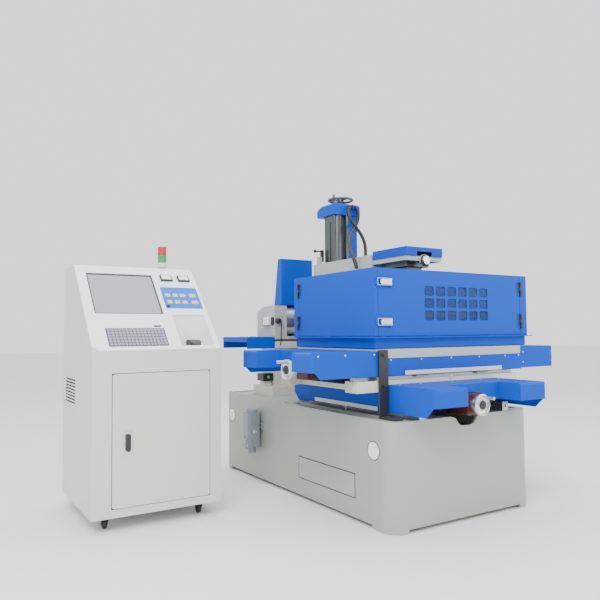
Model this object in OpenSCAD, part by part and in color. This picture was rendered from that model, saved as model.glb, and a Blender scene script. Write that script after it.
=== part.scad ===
// Wire electrical discharge machine: a cast bed with a two-axis slide table, a splash guard
// with toggle-latched doors, a column with an upper and a lower wire arm, a wire drum unit
// behind it, and a free-standing control cabinet on casters.
// Lengths are in millimetres, +X runs along the front to the right, +Y to the back, +Z up.

/* [Bed] */
// Width of the bed casting
bed_w = 1010; // [980:1:1060]
// Depth of the bed casting, front to back
bed_d = 1840; // [1800:1:1900]
// Height of the bed's top face over the floor
bed_h = 540; // [500:1:580]
// Radius of the two front corners
bed_front_r = 80; // [50:1:110]
// Radius of the two rear corners
bed_rear_r = 25; // [10:1:50]
// Gap under the bed between its corner feet
bed_foot_h = 20; // [12:1:30]
// Width of a foot seen from the front
bed_foot_w = 99; // [80:1:120]
// Length of a front foot seen from the side
bed_foot_front_d = 162; // [130:1:190]
// Length of a rear foot seen from the side
bed_foot_rear_d = 67; // [50:1:90]
// Width of the bell-shaped notch in the front wall
notch_w = 222; // [200:1:240]
// Depth of that notch below the bed's top face
notch_depth = 52; // [45:1:60]
// Width of the pit between the slideways
pit_w = 250; // [240:1:280]
// Depth of that pit
pit_depth = 70; // [64:1:90]
// Thickness of the bed's front wall at the pit
bed_wall = 16; // [12:1:24]
// Length of the front part that carries the slideways
bed_work_d = 1000; // [980:1:1030]
// Distance of a coolant gutter from the bed's side
gutter_in = 40; // [30:1:45]
// Width of a coolant gutter
gutter_w = 60; // [50:1:65]
// Depth of a coolant gutter
gutter_depth = 25; // [15:1:35]
// Height of the raised rim along the rear platform
bed_rim_h = 6; // [4:1:10]

/* [Slideways] */
// Distance between the two Y rails
y_rail_span = 608; // [590:1:620]
// Width of a Y rail
y_rail_w = 45; // [40:1:50]
// Height of a Y rail
y_rail_h = 50; // [44:1:56]
// Width of an X rail
x_rail_w = 35; // [30:1:40]
// Height of an X rail
x_rail_h = 41; // [38:1:46]
// Length of the X rails
x_rail_len = 1170; // [1120:1:1180]
// Length of a slide carriage
carriage_len = 90; // [80:1:100]
// Width of a carriage's side wall beside its rail
carriage_wall = 20; // [16:1:24]
// Diameter of both feed screws
screw_d = 25; // [22:1:28]

/* [Saddle] */
// Width of the saddle over its two cross bars
saddle_w = 1188; // [1175:1:1200]
// Depth of the saddle over its two cross bars
saddle_d = 751; // [740:1:765]
// Distance from the bed's front to the saddle at rest
saddle_rest_y = 157; // [150:1:165]
// Width of the saddle's body between the side aprons
saddle_body_w = 792; // [784:1:800]
// Height of the saddle's body
saddle_body_h = 72; // [68:1:80]
// Height of the carriages' pad above the Y rails
saddle_pad_h = 10; // [8:1:14]
// Depth of one cross bar, front to back
bar_d = 100; // [90:1:110]
// Height of one cross bar
bar_h = 57; // [50:1:62]
// Height of the deck between the bars
deck_h = 28; // [24:1:30]
// Width of the channel over the Y screw
channel_w = 150; // [140:1:170]
// Thickness left over that channel
channel_roof = 32; // [28:1:36]

/* [Saddle covers] */
// Thickness of the cover sheets
sheet = 3; // [2:0.5:4]
// Height of the covers' top below the cross bars' top
cover_step = 22; // [18:1:26]
// Reach of the front cover ahead of the saddle
front_reach = 350; // [335:1:360]
// Width of each wing of the front cover
front_wing_w = 208; // [195:1:220]
// Depth of the recess between those wings
front_recess_d = 145; // [135:1:150]
// Height of the wings' front faces
front_wing_h = 90; // [80:1:100]
// Height of the covers' side plates at the front
front_side_h = 140; // [125:1:145]
// Reach of the rear cover behind the saddle
rear_reach = 177; // [165:1:180]
// Width of the rear recess round the column
rear_recess_w = 470; // [440:1:500]
// Depth left between the saddle and that recess
rear_recess_gap = 22; // [15:1:30]
// Height of the rear cover's side plates
rear_side_h = 155; // [145:1:158]
// Radius of the covers' top front edges
cover_edge_r = 14; // [8:1:18]
// Radius of the covers' outer corners
cover_corner_r = 20; // [10:1:28]
// Height of the side aprons
side_apron_h = 112; // [100:1:118]
// Length of the steel rule on the left apron
side_rule_len = 600; // [560:1:640]

/* [Table] */
// Width of the table casting
table_w = 1096; // [1085:1:1110]
// Depth of the table casting
table_d = 768; // [755:1:780]
// Height of the table casting
table_h = 89; // [80:1:100]
// Height of the carriages' pad between X rails and table
table_pad_h = 30; // [26:1:36]
// Distance from the bed's left side to the table at rest
table_rest_x = 45; // [35:1:55]
// Height of the casting left bare over the apron
table_bare_h = 47; // [40:1:52]
// Height of the table's front apron
apron_h = 92; // [84:1:94]
// Distance from the table's left end to that apron
apron_start = 55; // [45:1:65]
// Length of the steel rule on the apron
apron_rule_len = 748; // [700:1:780]
// Height of a steel rule
rule_h = 25; // [20:1:28]
// Thickness of a steel rule
rule_t = 4; // [3:0.5:4]

/* [Table covers] */
// Reach of the left cover beside the table
left_reach = 405; // [390:1:410]
// Width of the left cover, front to back
left_w = 726; // [710:1:740]
// Width of each of its two wings
left_wing_w = 178; // [165:1:190]
// Depth of the recess between them
left_recess_d = 151; // [142:1:158]
// Height of the cover's top below the table's top
left_step = 10; // [6:1:14]
// Height of the wings' end faces
left_wing_h = 96; // [88:1:104]
// Height of the cover's front and rear plates
left_side_h = 129; // [118:1:132]
// Reach of the right cover beside the table
right_reach = 303; // [290:1:320]
// Width of the right cover, front to back
right_w = 738; // [734:1:745]
// Height of the right cover
right_h = 128; // [118:1:132]
// Height of the right cover's top below the table's top
right_step = 5; // [3:1:8]
// Radius of the right cover's corners
right_r = 18; // [10:1:26]

/* [Drives] */
// Side of the square drive motors
motor_w = 110; // [100:1:112]
// Length of a drive motor's body
motor_len = 150; // [140:1:156]
// Height of the Y screw's axis over the saddle's underside
y_axis_lift = 2; // [1:0.5:6]
// Height of the X screw's axis over the saddle's deck
x_axis_lift = 80; // [79:1:84]
// Diameter of a drive shaft
shaft_d = 26; // [24:1:30]
// Outer diameter of the Y handwheel
y_wheel_d = 110; // [100:1:120]
// Outer diameter of the X handwheel
x_wheel_d = 113; // [100:1:120]
// Diameter of the dial rings
dial_d = 78; // [66:1:84]
// Length of the dial rings
dial_len = 30; // [24:1:34]
// Length of a handwheel's grip
grip_len = 60; // [45:1:70]
// Diameter of a handwheel's grip
grip_d = 17; // [14:1:20]

/* [Water tray and guard] */
// Height of the tray's side walls
tray_h = 52; // [46:1:60]
// Height of the groove under the tray
tray_foot_h = 4; // [3:1:6]
// Thickness of the tray's sheets
tray_t = 4; // [3:0.5:5]
// Thickness of the tray's lip
lip_t = 5; // [4:1:6]
// Width of the tray's lip outside its walls
lip_out = 22; // [18:1:23]
// Width of the splash guard
guard_w = 1178; // [1165:1:1190]
// Depth of the splash guard
guard_d = 784; // [775:1:790]
// Height of the splash guard
guard_h = 358; // [340:1:380]
// Distance from the table's left end out to the guard
guard_over = 16; // [10:1:20]
// Width of the rear opening for the lower arm
guard_gap_w = 540; // [530:1:560]
// Height of that opening
guard_gap_h = 127; // [118:1:132]
// Width of the left door's front flange
flange_w = 23; // [20:1:28]
// Width of the fixed strip right of the front door
strip_w = 59; // [54:1:64]
// Depth of the left door's side
left_door_d = 731; // [715:1:735]
// Gap round each door
door_gap = 2; // [1:0.5:3]
// Number of window columns
window_cols = 6; // [3:1:6]
// Number of window rows
window_rows = 3; // [2:1:3]
// Width of one window
window_w = 67; // [60:1:70]
// Height of one window
window_h = 52; // [46:1:54]
// Step from one window to the next, sideways
window_step_x = 84.6; // [80:0.1:88]
// Step from one window to the next, upwards
window_step_z = 66; // [62:1:68]
// Radius of the windows' corners
window_r = 9; // [4:1:14]
// Height of one guard hinge
hinge_h = 66; // [60:1:72]
// Width of one guard hinge over both leaves
hinge_w = 44; // [38:1:50]
// Diameter of a hinge's knuckle
knuckle_d = 12; // [10:1:14]
// Height of the work rails' top over the tray's floor
work_rail_z = 213; // [205:1:220]
// Width of one work rail
work_rail_w = 60; // [50:1:66]
// Height of one work rail
work_rail_h = 55; // [48:1:60]

/* [Column and arms] */
// Width of the column
column_w = 180; // [174:1:186]
// Depth of the column
column_d = 140; // [134:1:146]
// Distance from the column's centre to the bed's middle
column_off = 84; // [80:1:88]
// Distance from the bed's front to the column
column_y = 1150; // [1148:1:1154]
// Height of the column over the bed
column_h = 1250; // [1240:1:1280]
// Height of the column's cap
cap_h = 80; // [70:1:90]
// Overhang of the cap at each side
cap_over = 20; // [14:1:26]
// Depth of the cap
cap_d = 216; // [205:1:225]
// Width of the upper arm
arm_w = 290; // [280:1:300]
// Length of the upper arm
arm_len = 658; // [645:1:670]
// Height of the upper arm
arm_h = 140; // [130:1:150]
// Height of the upper arm over the guard at rest
arm_clear = 7; // [5:1:10]
// Length of the arm's part behind the column's front
arm_tail = 203; // [195:1:212]
// Length of the cross-slide head ahead of the arm
head_len = 315; // [305:1:325]
// Thickness of each head slide
slide_h = 28; // [24:1:30]
// Height of the head's blue cover
uv_h = 52; // [46:1:60]
// Distance from the wire to the bed's front
wire_y = 530; // [525:1:535]
// Width of the lower arm
lower_arm_w = 100; // [90:1:110]
// Height of the lower arm
lower_arm_h = 75; // [66:1:78]
// Height of the lower arm over the tray's lip
lower_arm_clear = 15; // [12:1:18]
// Diameter of a wire pulley
pulley_d = 40; // [36:1:44]
// Thickness of a wire pulley
pulley_t = 8; // [6:1:10]
// Outer diameter of the column's handwheel
z_wheel_d = 185; // [170:1:200]
// Thickness of that handwheel's rim
z_rim_d = 18; // [14:1:22]
// Diameter of the black conduit
conduit_d = 24; // [22:1:28]

/* [Wire drum unit] */
// Distance from the bed's left side to the drum unit's foot
drum_foot_x = 134; // [125:1:140]
// Distance from the bed's front to the drum unit
drum_foot_y = 1403; // [1395:1:1420]
// Width of the foot
drum_foot_w = 426; // [400:1:440]
// Depth of the foot
drum_foot_d = 290; // [290:1:310]
// Height of the foot
drum_foot_h = 62; // [54:1:70]
// Distance from the bed's left side to the pedestal
drum_bed_x = 204; // [200:1:212]
// Distance from the bed's front to the pedestal
drum_bed_y = 1510; // [1500:1:1515]
// Width of the pedestal
drum_bed_w = 296; // [280:1:310]
// Depth of the pedestal
drum_bed_d = 180; // [170:1:190]
// Height of the foot and the pedestal together
drum_bed_h = 328; // [318:1:340]
// Distance from the bed's left side to the base of the ways
way_base_x = 160; // [155:1:170]
// Width of the base of the ways
way_base_w = 450; // [440:1:480]
// Depth of the base of the ways
way_base_d = 370; // [350:1:390]
// Height of the base of the ways
way_base_h = 47; // [42:1:52]
// Distance from the bed's left side to the drum carriage
carriage_x = 151; // [148:1:152]
// Width of the drum carriage
carriage_w = 399; // [395:1:405]
// Thickness of the carriage's plate
carriage_t = 20; // [18:1:24]
// Height of the drum's axis over the pedestal
drum_axis_h = 189; // [188:1:195]
// Distance from the drum unit's front to the drum's axis
drum_axis_in = 127; // [120:1:130]
// Diameter of the drum's barrel
drum_d = 194; // [180:1:196]
// Diameter of the drum's bright end ring
drum_flange_d = 200; // [198:1:204]
// Width of that ring
drum_flange_w = 50; // [42:1:56]
// Length of the drum
drum_len = 262; // [255:1:266]
// Width of the drum's motor housing
housing_w = 98; // [94:1:102]
// Depth of the drum's motor housing
housing_d = 255; // [245:1:262]
// Height of the drum's motor housing
housing_h = 213; // [205:1:220]
// Distance from the bed's left side to the hood
hood_x = 275; // [270:1:280]
// Width of the hood
hood_w = 264; // [255:1:270]
// Depth of the hood at its lower edge
hood_d = 105; // [98:1:112]
// Height of the hood
hood_h = 335; // [320:1:345]
// Clearance of the hood over the drum
hood_clear = 16; // [12:1:22]
// Length of the cover over the left ends of the ways
way_cover_len = 213; // [200:1:220]
// Height of the way cover
way_cover_h = 79; // [76:1:82]
// Height of the band over the way cover's left opening
way_band_h = 35; // [30:1:40]

/* [Switch post and oil pump] */
// Width of the switch post
post_w = 56; // [50:1:60]
// Depth of the switch post
post_d = 62; // [54:1:68]
// Height of the switch post
post_h = 35; // [30:1:42]
// Width of the switch box
switch_w = 80; // [72:1:84]
// Depth of the switch box
switch_d = 90; // [82:1:96]
// Height of the switch box
switch_h = 53; // [46:1:60]
// Thickness of the oil pump's body beside the bed
pump_w = 90; // [80:1:96]
// Length of the oil pump's body
pump_d = 90; // [82:1:98]
// Height of the oil pump's body
pump_h = 220; // [205:1:232]
// Height of the pump's underside over the floor
pump_z = 230; // [220:1:245]
// Distance from the bed's front to the pump
pump_y = 1310; // [1290:1:1330]

/* [Control cabinet] */
// Distance from the cabinet's left side to the bed's left side
cabinet_off = 1213; // [1190:1:1240]
// Distance from the bed's front to the cabinet's front
cabinet_y = 803; // [780:1:830]
// Width of the cabinet
cabinet_w = 686; // [680:1:696]
// Depth of the cabinet
cabinet_d = 690; // [670:1:710]
// Height of the casters under the cabinet
caster_h = 72; // [66:1:80]
// Height of the cabinet's front below the console
cabinet_front_h = 819; // [805:1:835]
// Rise of the sloping console
slope_rise = 467; // [455:1:480]
// Set-back of the sloping console's top
slope_back = 442; // [430:1:455]
// Thickness of the cabinet's walls
cabinet_wall = 4; // [3:0.5:5]
// Radius of the cabinet's front left corner
cabinet_r = 60; // [45:1:75]
// Width of the cabinet's door
door_w = 518; // [505:1:528]
// Height of the cabinet's door
door_h = 662; // [645:1:675]
// Distance from the cabinet's left side to its door
door_x = 100; // [92:1:108]
// Height of the door over the cabinet's floor
door_z = 44; // [36:1:52]
// Gap round the cabinet's door
door_slit = 3; // [2.5:0.5:4]
// Thickness of the door
door_t = 20; // [16:1:24]
// Radius of the door's corners
door_r = 14; // [8:1:20]
// Width of the lock plate
lock_w = 41; // [36:1:46]
// Height of the lock plate
lock_h = 124; // [115:1:132]
// Number of louvres in the left side
louvre_count = 8; // [5:1:9]
// Width of the signal tower
tower_d = 58; // [50:1:64]
// Height of one lamp of the signal tower
lamp_h = 50; // [44:1:56]

/* [Console] */
// Width of the monitor's opening
screen_w = 371; // [365:1:377]
// Height of the monitor's opening
screen_h = 320; // [312:1:326]
// Distance from the console's left side to the monitor
screen_u = 52; // [46:1:58]
// Distance from the console's lower edge to the monitor
screen_v = 261; // [254:1:266]
// Width of the keyboard
keyboard_w = 312; // [304:1:318]
// Depth of the keyboard
keyboard_d = 129; // [124:1:134]
// Distance from the console's left side to the keyboard
keyboard_u = 86; // [80:1:92]
// Distance from the console's lower edge to the keyboard
keyboard_v = 26; // [20:1:32]
// Number of keys in a row
key_cols = 16; // [10:1:18]
// Number of key rows
key_rows = 6; // [4:1:6]
// Width of the mouse recess
recess_w = 187; // [180:1:192]
// Height of the mouse recess along the slope
recess_h = 229; // [220:1:234]
// Distance from the console's left side to that recess
recess_u = 467; // [462:1:472]
// Distance from the console's lower edge to that recess
recess_v = 25; // [20:1:32]
// Width of the membrane key plate
keypad_w = 220; // [210:1:226]
// Height of the membrane key plate
keypad_h = 174; // [166:1:180]
// Side of one dial meter
meter_w = 72; // [66:1:76]
// Height of one dial meter
meter_h = 49; // [44:1:54]
// Width of the mouse
mouse_w = 62; // [56:1:66]
// Length of the mouse
mouse_len = 105; // [98:1:112]
// Height of the mouse
mouse_h = 34; // [28:1:38]
// Diameter of a caster's wheel
caster_d = 50; // [46:1:54]
// Width of a caster's wheel
caster_t = 20; // [16:1:24]

/* [Hidden] */
$fn = 48;

// Colours shared by several pieces
blue = [0.11, 0.42, 0.83];
arm_grey = [0.6, 0.61, 0.6];
dark = [0.15, 0.15, 0.15];
black = [0.1, 0.1, 0.11];
cream = [0.88, 0.86, 0.76];
cabinet_grey = [0.79, 0.79, 0.76];
steel = [0.75, 0.76, 0.77];
silver = [0.7, 0.7, 0.72];
ground = [0.6, 0.61, 0.62];
column_grey = [0.5, 0.52, 0.54];
motor_red = [0.45, 0.12, 0.12];
bed_grey = [0.63, 0.65, 0.61];

// Clearance between pieces that move past each other, and of a shaft in its bore
gap = 0.3;
bore_gap = 0.05;
// Overrun of a cut past the face that it opens
cut = 5;
// Small fastener heads on cover sheets
screw_head_d = 9;
screw_head_h = 2;

// Heights of the stack from the bed to the guard
rail_top = bed_h + y_rail_h;
saddle_z = rail_top + saddle_pad_h;
bar_z = saddle_z + saddle_body_h;
bar_top = bar_z + bar_h;
deck_top = bar_z + deck_h;
x_rail_top = bar_top + x_rail_h;
table_z = x_rail_top + table_pad_h;
table_top = table_z + table_h;
tray_z = table_top + tray_foot_h;
lip_top = tray_z + tray_h + lip_t;
guard_top = lip_top + guard_h;
cover_top = bar_top - cover_step;

// Places in plan, from the bed's front left corner
mid_x = bed_w / 2;
saddle_y = saddle_rest_y;
saddle_back = saddle_y + saddle_d;
body_x = mid_x - saddle_body_w / 2;
side_x = body_x - sheet;
table_x = table_rest_x;
table_right = table_x + table_w;
table_back = saddle_y + table_d;
x_bar_ys = [saddle_y + bar_d / 2, saddle_back - bar_d / 2];
y_rail_xs = [mid_x - y_rail_span / 2, mid_x + y_rail_span / 2];
y_axis_z = saddle_z + y_axis_lift;
x_axis_z = deck_top + x_axis_lift;
x_axis_y = saddle_y + left_w / 2 - sheet;

// Carriages stand at these shares of the saddle's and the table's length
y_carriage_shares = [0.17, 0.83];
x_carriage_shares = [0.29, 0.71];

// Splash guard and doors
guard_x = table_x - guard_over;
guard_right = guard_x + guard_w;
guard_y = saddle_y;
guard_back = guard_y + guard_d;
door_z0 = lip_top + sheet;
front_door_x = guard_x + flange_w;
front_door_right = guard_right - strip_w - door_gap * 2;
hinge_axis_x = guard_right - strip_w;
hinge_axis_y = guard_y - knuckle_d / 2 - sheet / 2;
left_axis_x = guard_x - knuckle_d / 2 - sheet / 2;
left_axis_y = guard_y + left_door_d;
guard_hinge_shares = [0.15, 0.81];
hinge_leaf_t = 3;

// Toggle latches, from the front door's left seam
latch_h = 46;
latch_w = 113;
latch_shares = [0.17, 0.83];
latch_plate_t = 3;
latch_axis_off = 80;
latch_reach = 60;
latch_wire_d = 4;

// Column, arms and head
column_x = mid_x + column_off;
column_top = bed_h + column_h;
column_back = column_y + column_d;
way_d = 68;
rail_plate_w = 85;
rail_plate_t = 6;
rail_slot_w = 28;
arm_x = column_x - arm_w / 2;
arm_z = guard_top + arm_clear;
arm_top = arm_z + arm_h;
arm_back = column_y + arm_tail;
arm_front = arm_back - arm_len;
head_front = arm_front - head_len;
head_plate_z = arm_z + arm_h / 2 + arm_clear;
head_plate_top = head_plate_z + slide_h;
v_slide_top = head_plate_z - gap;
u_slide_top = v_slide_top - slide_h - gap;
slide_w = 180;
slide_inset = 30;
lower_arm_z = lip_top + lower_arm_clear;
lower_arm_front = 480;
pulley_axis_y = wire_y + pulley_d / 2;
lower_pulley_z = lower_arm_z + lower_arm_h / 2;
upper_pulley_z = lip_top + guard_h * 3 / 5;
pulley_pin_d = 8;
fork_t = 10;

// Wire drum unit
drum_shaft_d = 30;
drum_way_w = 40;
drum_way_h = 15;
way_slip = 2;
hood_top_share = 0.48;
housing_shares = [[0, 0], [1, 0], [1, 0.82], [0.71, 0.96], [0.51, 1], [0, 1]];
drum_bed_top = bed_h + drum_bed_h;
way_base_y = drum_foot_y + sheet + way_slip;
way_top = drum_bed_top + way_base_h + drum_way_h;
carriage_d = way_base_d + (sheet + way_slip) * 2;
carriage_top = way_top + gap + carriage_t;
drum_y = drum_foot_y + drum_axis_in;
drum_z = drum_bed_top + drum_axis_h;
drum_x = carriage_x + housing_w + sheet;
bearing_x = drum_x + drum_len + sheet;
hood_y = drum_y - drum_shaft_d / 3;
hood_z = drum_z + drum_flange_d / 2 + hood_clear;
post_x = drum_foot_x + sheet;
post_y = drum_bed_y + (switch_d - post_d) / 2 + sheet * 2;
switch_z = bed_h + drum_foot_h + post_h;

// Cabinet and console
cabinet_x = -cabinet_off;
cabinet_z = caster_h;
slope_z = cabinet_z + cabinet_front_h;
slope_y = cabinet_y;
slope_len = sqrt(slope_rise * slope_rise + slope_back * slope_back);
slope_angle = atan2(slope_rise, slope_back);
cabinet_top = slope_z + slope_rise;
cabinet_back = cabinet_y + cabinet_d;
panel_t = 6;
panel_r = 50;
caster_in = 90;
fork_w = 30;
swivel_d = 44;
swivel_t = 8;
stem_d = 12;
caster_trail = 12;

// The part's own origin is at the middle of its footprint
frame_x = (cabinet_x + table_right + right_reach) / 2;
frame_y = (saddle_y - front_reach + bed_d) / 2;

// Route of the black conduit, from the arm's top over the cap's clip to the arm's side
conduit_route = [[690, 1070, 1460], [690, 1070, 1490], [690, 1070, 1540], [683, 1070, 1590],
    [660, 1071, 1640], [626, 1074, 1685], [592, 1080, 1728], [570, 1092, 1772],
    [574, 1108, 1816], [600, 1118, 1846], [636, 1120, 1850], [662, 1119, 1822],
    [666, 1116, 1778], [648, 1108, 1736], [612, 1088, 1702], [562, 1050, 1660],
    [505, 1000, 1610], [458, 945, 1562], [430, 895, 1508], [420, 850, 1450],
    [418, 828, 1412], [418, 820, 1392], [418, 820, 1375]];
conduit_sides = 10;
gland_h = 26;

// Geometry helpers
module frame() translate([-frame_x, -frame_y, 0]) children();
module block(lo, hi) translate(lo) cube(hi - lo);
module x_prism(x0, x1) translate([x0, 0, 0]) rotate([90, 0, 90]) linear_extrude(x1 - x0) children();
module y_prism(y0, y1) translate([0, y1, 0]) rotate([90, 0, 0]) linear_extrude(y1 - y0) children();
module z_prism(z0, z1) translate([0, 0, z0]) linear_extrude(z1 - z0) children();
module x_rod(d, x0, x1) translate([x0, 0, 0]) rotate([0, 90, 0]) cylinder(d = d, h = x1 - x0);
module y_rod(d, y0, y1) translate([0, y1, 0]) rotate([90, 0, 0]) cylinder(d = d, h = y1 - y0);
module z_rod(d, z0, z1) translate([0, 0, z0]) cylinder(d = d, h = z1 - z0);

// A rectangle whose four corners have the radii given from the lower left, anticlockwise
module rounded(w, h, r) {
    rs = is_list(r) ? r : [r, r, r, r];
    places = [[0, 0], [w, 0], [w, h], [0, h]];
    signs = [[1, 1], [-1, 1], [-1, -1], [1, -1]];
    difference() {
        square([w, h]);
        for (i = [0:3]) if (rs[i] > 0) translate(places[i]) scale_corner(signs[i], rs[i]);
    }
}

// The sliver outside a rounded corner of radius r, turned into the quadrant s
module scale_corner(s, r) mirror([s[0] < 0 ? 1 : 0, 0]) mirror([0, s[1] < 0 ? 1 : 0])
    difference() {
        translate([-cut, -cut]) square(r + cut);
        translate([r, r]) circle(r);
    }

// A row of sheet-metal screws along X on a face that looks to -Y
module screw_row(xs, y, z) {
    for (x = xs) translate([x, 0, z]) y_rod(screw_head_d, y - screw_head_h, y);
}

// A slide carriage of length l along X that runs over a rail of the given section
module carriage(l, rail_w, rail_h, pad_h) {
    difference() {
        translate([-l / 2, -rail_w / 2 - carriage_wall, rail_h / 5])
            cube([l, rail_w + carriage_wall * 2, rail_h * 4 / 5 + pad_h]);
        translate([-l / 2 - cut, -rail_w / 2 - gap, -cut])
            cube([l + cut * 2, rail_w + gap * 2, rail_h + cut + gap]);
    }
}

// A waisted rail section, w wide and h tall, in shares of both
rail_shares = [[-0.5, 0], [0.5, 0], [0.5, 0.4], [0.4, 0.52], [0.4, 0.66], [0.5, 0.76],
    [0.5, 0.96], [0.46, 1], [-0.46, 1], [-0.5, 0.96], [-0.5, 0.76], [-0.4, 0.66],
    [-0.4, 0.52], [-0.5, 0.4]];
module rail_section(w, h) polygon([for (p = rail_shares) [p[0] * w, p[1] * h]]);

// The solid that a U-shaped cover wraps: width along X, front plane at y = 0, top at z = 0
module u_solid(w, reach, wing, recess, h, edge_r, corner_r) {
    intersection() {
        z_prism(-h, 0) difference() {
            rounded(w, reach, [corner_r, corner_r, 0, 0]);
            translate([wing, -cut]) square([w - wing * 2, recess + cut]);
        }
        x_prism(-cut, w + cut) translate([0, -h]) rounded(reach, h, [0, 0, 0, edge_r]);
    }
}

// A U-shaped cover of thin sheet, open below and behind
module u_cover(w, reach, wing, recess, wing_h, side_h) {
    difference() {
        u_solid(w, reach, wing, recess, side_h, cover_edge_r, cover_corner_r);
        translate([sheet, sheet, -sheet])
            u_solid(w - sheet * 2, reach + cut, wing - sheet * 2, recess, side_h + cut,
                cover_edge_r - sheet, cover_corner_r - sheet);
        translate([sheet, -cut, -side_h - cut])
            cube([w - sheet * 2, reach + cut * 2, side_h + cut - wing_h]);
        x_prism(-cut, w + cut) polygon([[-cut, -side_h - cut], [-cut, -wing_h],
            [cover_corner_r, -wing_h], [cover_corner_r + (side_h - wing_h), -side_h],
            [cover_corner_r + (side_h - wing_h), -side_h - cut]]);
    }
}

// Bed casting with its corner feet, front notch, pit, gutters and rear rim
notch_shares = [[-0.5, 0], [-0.36, -0.18], [-0.29, -0.62], [-0.22, -0.9], [-0.1, -1],
    [0.1, -1], [0.22, -0.9], [0.29, -0.62], [0.36, -0.18], [0.5, 0]];
module bed_casting() color(bed_grey) frame() difference() {
    union() {
        z_prism(0, bed_h) rounded(bed_w, bed_d, [bed_front_r, bed_front_r, bed_rear_r, bed_rear_r]);
        z_prism(bed_h, bed_h + bed_rim_h) difference() {
            translate([0, bed_work_d + bed_wall])
                rounded(bed_w, bed_d - bed_work_d - bed_wall, [0, 0, bed_rear_r, bed_rear_r]);
            translate([bed_wall, bed_work_d])
                square([bed_w - bed_wall * 2, bed_d - bed_work_d - bed_wall]);
        }
    }
    block([bed_foot_w, -cut, -cut], [bed_w - bed_foot_w, bed_d + cut, bed_foot_h]);
    block([-cut, bed_foot_front_d, -cut], [bed_w + cut, bed_d - bed_foot_rear_d, bed_foot_h]);
    y_prism(-cut, bed_wall + cut) translate([mid_x, bed_h]) {
        polygon([for (p = notch_shares) [p[0] * notch_w, p[1] * notch_depth]]);
        translate([-notch_w / 2, 0]) square([notch_w, cut]);
    }
    block([mid_x - pit_w / 2, bed_wall, bed_h - pit_depth],
        [mid_x + pit_w / 2, bed_work_d, bed_h + cut]);
    for (x = [gutter_in, bed_w - gutter_in - gutter_w])
        block([x, gutter_in * 3 / 2, bed_h - gutter_depth], [x + gutter_w, bed_work_d, bed_h + cut]);
}

// Y rails with their end blocks, the nut bracket in the pit and the left rule's pointer
nut_w = 60;
nut_len = 80;
rail_end_t = 8;
module y_guide_rails() color(ground) frame() {
    for (x = y_rail_xs) {
        translate([x, 0, bed_h]) y_prism(rail_end_t + gutter_in / 20, bed_work_d)
            rail_section(y_rail_w, y_rail_h);
        difference() {
            block([x - y_rail_w / 2, gutter_in / 20, bed_h],
                [x + y_rail_w / 2, gutter_in / 20 + rail_end_t, rail_top]);
            translate([x, 0, rail_top - y_rail_w / 2])
                y_rod(y_rail_w / 3, -cut, rail_end_t + gutter_in / 20 + cut);
        }
    }
    difference() {
        block([mid_x - nut_w / 2, bed_work_d / 2 - nut_len / 2, bed_h - pit_depth],
            [mid_x + nut_w / 2, bed_work_d / 2 + nut_len / 2, y_axis_z + nut_w / 2]);
        translate([mid_x, 0, y_axis_z]) y_rod(screw_d + bore_gap * 2, 0, bed_work_d);
    }
    block([side_x - rule_t * 3, bed_work_d / 2, bed_h],
        [side_x - rule_t - sheet / 2, bed_work_d / 2 + rule_h / 2, bed_h + rule_h]);
}

// Saddle: two cross bars on a body that rides on four carriages
module saddle_casting() color(cream) frame() {
    difference() {
        union() {
            for (y = [saddle_y, saddle_back - bar_d])
                translate([mid_x - saddle_w / 2, y, bar_z]) cube([saddle_w, bar_d, bar_h]);
            block([body_x, saddle_y, saddle_z], [body_x + saddle_body_w, saddle_back, bar_z]);
            block([0, saddle_y + bar_d, bar_z], [bed_w, saddle_back - bar_d, deck_top]);
        }
        block([mid_x - channel_w / 2, saddle_y - cut, saddle_z - cut],
            [mid_x + channel_w / 2, saddle_back + cut, bar_z - channel_roof]);
    }
    for (x = y_rail_xs, s = y_carriage_shares)
        translate([x, saddle_y + saddle_d * s, bed_h]) rotate(90)
            carriage(carriage_len, y_rail_w, y_rail_h, saddle_pad_h);
    difference() {
        block([mid_x - nut_w / 2, x_axis_y - nut_len / 2, deck_top],
            [mid_x + nut_w / 2, x_axis_y + nut_len / 2, table_z - sheet]);
        translate([0, x_axis_y, x_axis_z]) x_rod(screw_d + bore_gap * 2, 0, bed_w);
    }
    block([mid_x + nut_w * 3 / 4, saddle_y - rule_t * 2, cover_top + gap],
        [mid_x + nut_w * 3 / 4 + rule_h / 2, saddle_y, bar_z + bar_h + rule_t * 3]);
}

// Front and rear covers, straddling the Y motor and the column
module saddle_end_covers() color(blue) frame() {
    cover_w = saddle_body_w + sheet * 2;
    difference() {
        translate([side_x, saddle_y - front_reach, cover_top])
            u_cover(cover_w, front_reach, front_wing_w, front_recess_d, front_wing_h, front_side_h);
        translate([mid_x - motor_w / 2 - cut, saddle_y - front_reach, cover_top - front_side_h])
            cube([motor_w + cut * 2, front_reach, front_side_h - front_wing_h / 2]);
    }
    translate([side_x, saddle_back + rear_reach, cover_top]) mirror([0, 1, 0])
        u_cover(cover_w, rear_reach, (cover_w - rear_recess_w) / 2, rear_reach - rear_recess_gap,
            cover_top - rail_top - strap_t, rear_side_h);
    for (x = [side_x + cover_w / 6, mid_x, side_x + cover_w * 5 / 6])
        translate([x, saddle_y - rule_h, 0]) z_rod(screw_head_d, cover_top, cover_top + screw_head_h);
}

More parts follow.
